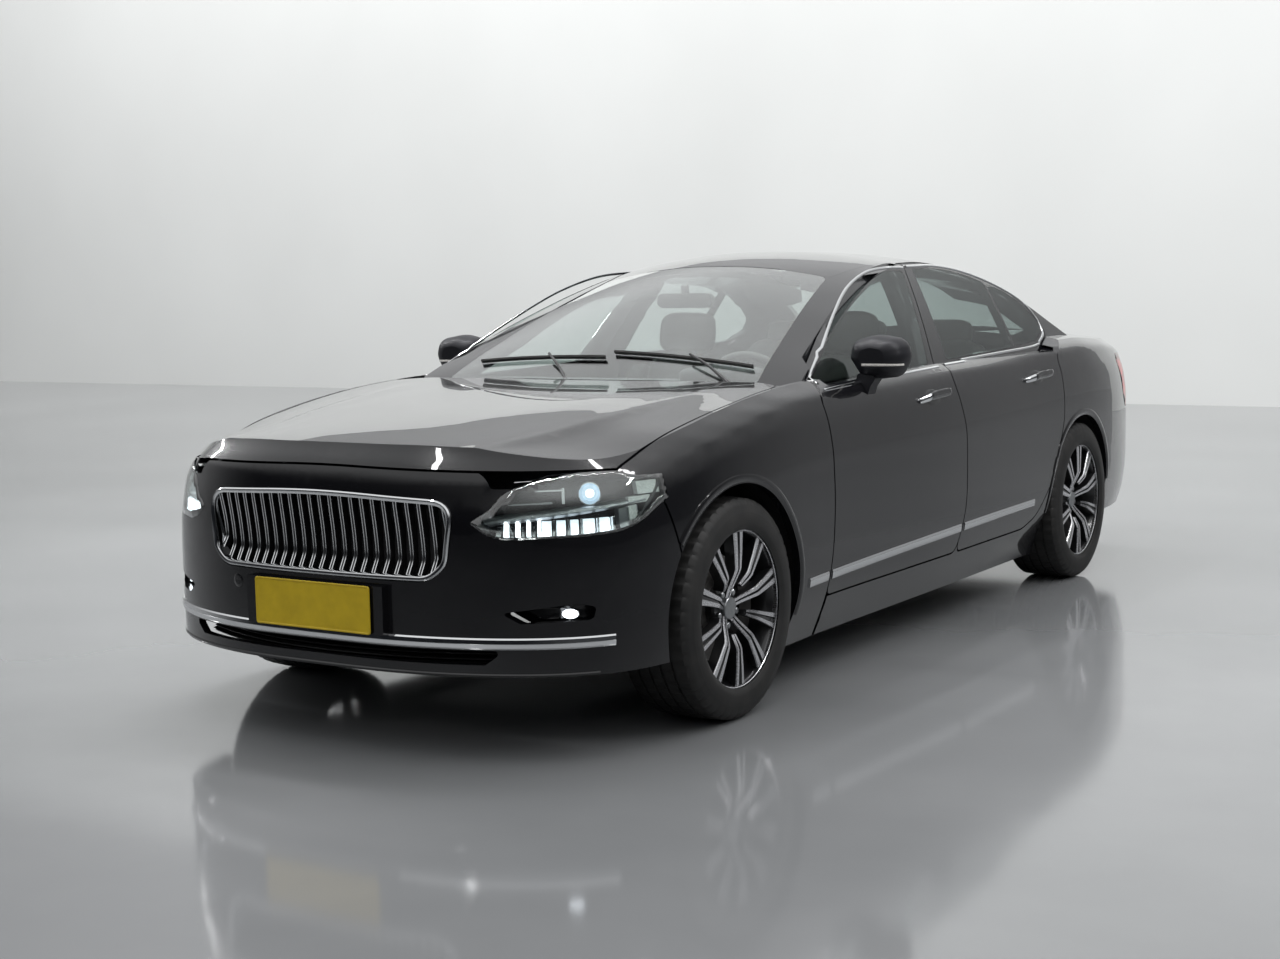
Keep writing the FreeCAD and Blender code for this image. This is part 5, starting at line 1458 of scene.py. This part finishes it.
def door_card(which, side, low, top, bottom_ends, top_ends):
    """Trimmed panel on the inside of a door, with an armrest"""
    sign = SIDE_SIGN[side]
    name = "door_" + which + "_" + side
    card = Builder()
    rows = []
    last = 0.76
    for i in range(25):
        v = i / 24
        z = low + (top - low) * v
        row = []
        for j in range(33):
            u = j / 32
            y0 = bottom_ends[0] + (top_ends[0] - bottom_ends[0]) * v
            y1 = bottom_ends[1] + (top_ends[1] - bottom_ends[1]) * v
            y = y0 + (y1 - y0) * u
            hit = skin_hit(own_skin[name], (sign * 0.30, y, z), (sign, 0, 0))
            if hit and abs(hit[0].x) < 0.90:
                last = abs(hit[0].x)
            arm = 0.050 * math.exp(-((z - 0.640) / 0.030) ** 4) * min(1, 5 * u) * min(1, 5 * (1 - u))
            belly = 0.012 * math.exp(-((z - 0.48) / 0.06) ** 2)
            edge = 0.004 if 0 < i < 24 and 0 < j < 32 else -0.001
            row.append(Vector((sign * (last - edge - arm - belly), y, z)))
        rows.append(row)
    card.grid(rows, 0)
    card.make("door_card_" + which + "_" + side, [soft_trim], name, 0.8)
    pull = Builder()
    y = bottom_ends[0] + 0.20
    bends = ((0.004, 0.0, 0.800), (0.030, 0.03, 0.803), (0.030, 0.11, 0.806), (0.006, 0.14, 0.806))
    line = [(sign * (last - inward), y + along, z) for inward, along, z in bends]
    rod(pull, spline_points(line, 14), 0.006, 0, 10)
    pull.make("door_pull_" + which + "_" + side, [chrome], name, 0.8)


for side in SIDE_SIGN:
    door_card("front", side, 0.400, 0.945, (-0.900, 0.010), (-0.880, -0.010))
    door_card("rear", side, 0.420, 0.955, (0.140, 0.790), (0.130, 1.060))

# Dashboard fittings: an instrument hood, a tall blank screen, air vents and a bright strip across.
# The centre console carries a selector, a black panel and a padded lid.
dark_screen = surface("dark screen", (12, 0.3, (0.007, 0.008, 0.010), 0.7, (0.010, 0.011, 0.013)),
                      Base_Color=(0.008, 0.009, 0.011), Roughness=0.08, Coat_Weight=1.0)

fittings = Builder()
pad(fittings, (0.370, -0.790, 0.995), 0.0, (0.170, 0.070, 0.030), 0.012, (), 0, (16, 10, 6), 4.0)
pad(fittings, (0.370, -0.716, 0.965), 1.35, (0.145, 0.045, 0.004), 0.0, (), 1, (8, 6, 2), 8.0)
pad(fittings, (0.0, -0.668, 0.865), 1.38, (0.082, 0.110, 0.010), 0.0, (), 1, (8, 10, 4), 8.0)
for x in (-0.600, -0.140, 0.140, 0.600):
    pad(fittings, (x, -0.672, 0.905), 1.25, (0.045, 0.030, 0.006), 0.0, (), 0, (6, 6, 3), 6.0)
    for k in range(5):
        pad(fittings, (x, -0.662, 0.887 + 0.009 * k), 1.25, (0.040, 0.0022, 0.006), 0.0, (), 2, (4, 2, 2),
            6.0)
pad(fittings, (-0.330, -0.652, 0.862), 1.25, (0.240, 0.007, 0.004), 0.0, (), 2, (14, 3, 3), 6.0)
fittings.make("dash_fittings", [soft_trim, dark_screen, chrome], "body", 0.7)
console = Builder()
pad(console, (0.0, -0.080, 0.590), 0.0, (0.085, 0.150, 0.030), 0.010, (), 0, (12, 16, 4), 5.0)
pad(console, (0.0, -0.440, 0.618), 0.10, (0.080, 0.110, 0.004), 0.0, (), 1, (8, 8, 2), 8.0)
rod(console, [Vector((0.0, -0.500, 0.610)), Vector((0.0, -0.505, 0.665))], 0.009, 2, 12)
pad(console, (0.0, -0.507, 0.680), 0.1, (0.018, 0.026, 0.020), 0.002, (), 0, (8, 8, 6), 3.0)
console.make("console_fittings", [leather, lamp_black, chrome], "body", 0.7)

# Mirrors: silvered glass in the outside housings, with a slim signal lamp across each, and in the cabin one.
silver = surface("mirror silver", (8, 0.3, (0.84, 0.85, 0.86), 0.7, (0.88, 0.89, 0.90)),
                 Base_Color=(0.86, 0.87, 0.88), Metallic=1.0, Roughness=0.02)
signal_lens = surface("signal lens", (300, 0.35, (0.62, 0.60, 0.57), 0.65, (0.82, 0.79, 0.75), 0.0),
                      Base_Color=(0.75, 0.72, 0.68), Roughness=0.15, Coat_Weight=0.8)
MIRROR_RING = [(0.806, 1.062, 0.024), (0.818, 1.122, 0.040), (0.900, 1.142, 0.120), (1.000, 1.126, 0.050),
               (1.018, 1.060, 0.060), (0.984, 0.996, 0.050), (0.860, 0.984, 0.050)]


def side_mirror(side):
    """Glass, its rim and the signal lamp of one outside mirror"""
    sign = SIDE_SIGN[side]
    line = even_line(rounded(MIRROR_RING, 6), 72)
    glass = Builder()

    def ring(size, y):
        return [Vector((sign * (0.908 + (p.x - 0.908) * size), y, 1.062 + (p.y - 1.062) * size))
                for p in line]

    glass.grid([ring(0.95, -0.602), ring(0.935, -0.596), ring(0.90, -0.597), ring(0.885, -0.600)], 1,
               closed=True)
    glass.grid([ring(size, -0.5985 - 0.0015 * (1 - size)) for size in (0.89, 0.6, 0.3, 0.01)], 0, closed=True)
    glass.make("mirror_glass_" + side, [silver, lamp_black], "door_front_" + side, 0.5)
    skin = skin_tree(["mirror_" + side])
    reach = (-18, 82) if side == "left" else (18, -82)
    path, outs = fan_path(skin, (sign * 0.90, -0.64, 1.040), reach, 25, -1, 0.5)
    lamp = Builder()
    ribbon(lamp, path, outs,
           [(-0.0042, -0.002), (-0.0042, 0.0008), (-0.002, 0.0018), (0.002, 0.0018), (0.0042, 0.0008),
            (0.0042, -0.002)])
    lamp.make("mirror_signal_" + side, [signal_lens], "door_front_" + side, 0.7)


for side in SIDE_SIGN:
    side_mirror(side)

inner_glass = Builder()
pad(inner_glass, (0.0, -0.414, 1.260), 1.571, (0.113, 0.023, 0.0015), 0.0, (), 0, (14, 6, 2), 6.0)
inner_glass.make("inner_mirror_glass", [silver], "body", 0.5)

# Wheel arch lips: a folded edge round each opening, in the body colour, split where the rear door meets it.
ARCH_LIP = 0.014
ARCH_RADIUS = {"front": 0.385, "rear": 0.376}


def arch_lip(axle, side, carrier, body, first, last):
    """Lip round a wheel opening on one panel, between two angles from straight back over the top"""
    sign = SIDE_SIGN[side]
    path = []
    outs = []
    for k in range(81):
        turn = math.radians(first + (last - first) * k / 80)
        y = AXLE_Y[axle] + (ARCH_RADIUS[axle] + ARCH_LIP) * math.cos(turn)
        z = TYRE_RADIUS + (ARCH_RADIUS[axle] + ARCH_LIP) * math.sin(turn)
        hit = side_hit(own_skin[carrier], side, y, z)
        if hit and abs(hit[0].x) > 0.83:
            path.append(hit[0])
            outs.append(Vector((sign, 0, 0)))
    if len(path) < 6:
        return
    lip = Builder()
    ribbon(lip, path, outs,
           [(-0.0135, -0.006), (-0.0135, 0.0030), (-0.0100, 0.0045), (0.0020, 0.0040),
            (0.0100, 0.0016), (0.0135, -0.001)])
    lip.make("arch_lip_" + axle + "_" + carrier, [paint], body, 0.8)


for side in SIDE_SIGN:
    arch_lip("front", side, "fender_" + side, "body", -12, 192)
    arch_lip("rear", side, "body_side_" + side, "body", -12, 192)
    arch_lip("rear", side, "door_rear_" + side, "door_rear_" + side, 100, 185)

# Tail trim: a bright strip low across the rear bumper, and two flattened tailpipe ends below it.
tail_skin = skin_tree(["rear_bumper"])
tail_strip = Builder()
path, outs = fan_path(tail_skin, (0, 1.2, 0.372), (-36, 36), 100, 1)
ribbon(tail_strip, path, outs,
       [(-0.0100, -0.003), (-0.0105, 0.001), (-0.0070, 0.0040), (0.0070, 0.0050), (0.0105, 0.0025),
        (0.0100, -0.003)])
tail_strip.make("tail_strip", [chrome], "body", 0.5)

TIP_RINGS = [(0.062, 0.022, -0.004), (0.066, 0.025, 0.004), (0.064, 0.0235, 0.010), (0.058, 0.0185, 0.008),
             (0.056, 0.0170, 0.0022), (0.028, 0.0085, 0.0020), (0.0006, 0.0002, 0.0020)]

for side, sign in SIDE_SIGN.items():
    tip = Builder()
    rows = []
    for wide, high, deep in TIP_RINGS:
        row = []
        for a, b in circle(36):
            x = sign * 0.56 + math.copysign(abs(a) ** 0.6, a) * wide
            z = 0.308 + math.copysign(abs(b) ** 0.8, b) * high
            hit = skin_hit(tail_skin, (x, 3.0, z), (0, -1, 0))
            row.append(Vector((x, hit[0].y + deep, z)))
        rows.append(row)
    tip.grid(rows[:5], 0, closed=True)
    tip.grid(rows[4:], 1, closed=True)
    tip.make("tailpipe_end_" + side, [chrome, lamp_black], "body", 0.6)

# Engine bay: a ribbed plastic cover over the engine, with a filler cap.
cover = Builder()
pad(cover, (0.0, -1.680, 0.860), 0.0, (0.242, 0.350, 0.018), 0.012, (), 0, (20, 24, 4), 7.0)
for k in range(7):
    pad(cover, ((k - 3) * 0.060, -1.680, 0.884), 0.0, (0.010, 0.270, 0.007), 0.0, (), 0, (4, 20, 3), 4.0)
rod(cover, [Vector((-0.200, -1.960, 0.870)), Vector((-0.200, -1.960, 0.895))], 0.026, 0, 20)
cover.make("engine_cover", [black_plastic], "body", 0.6)
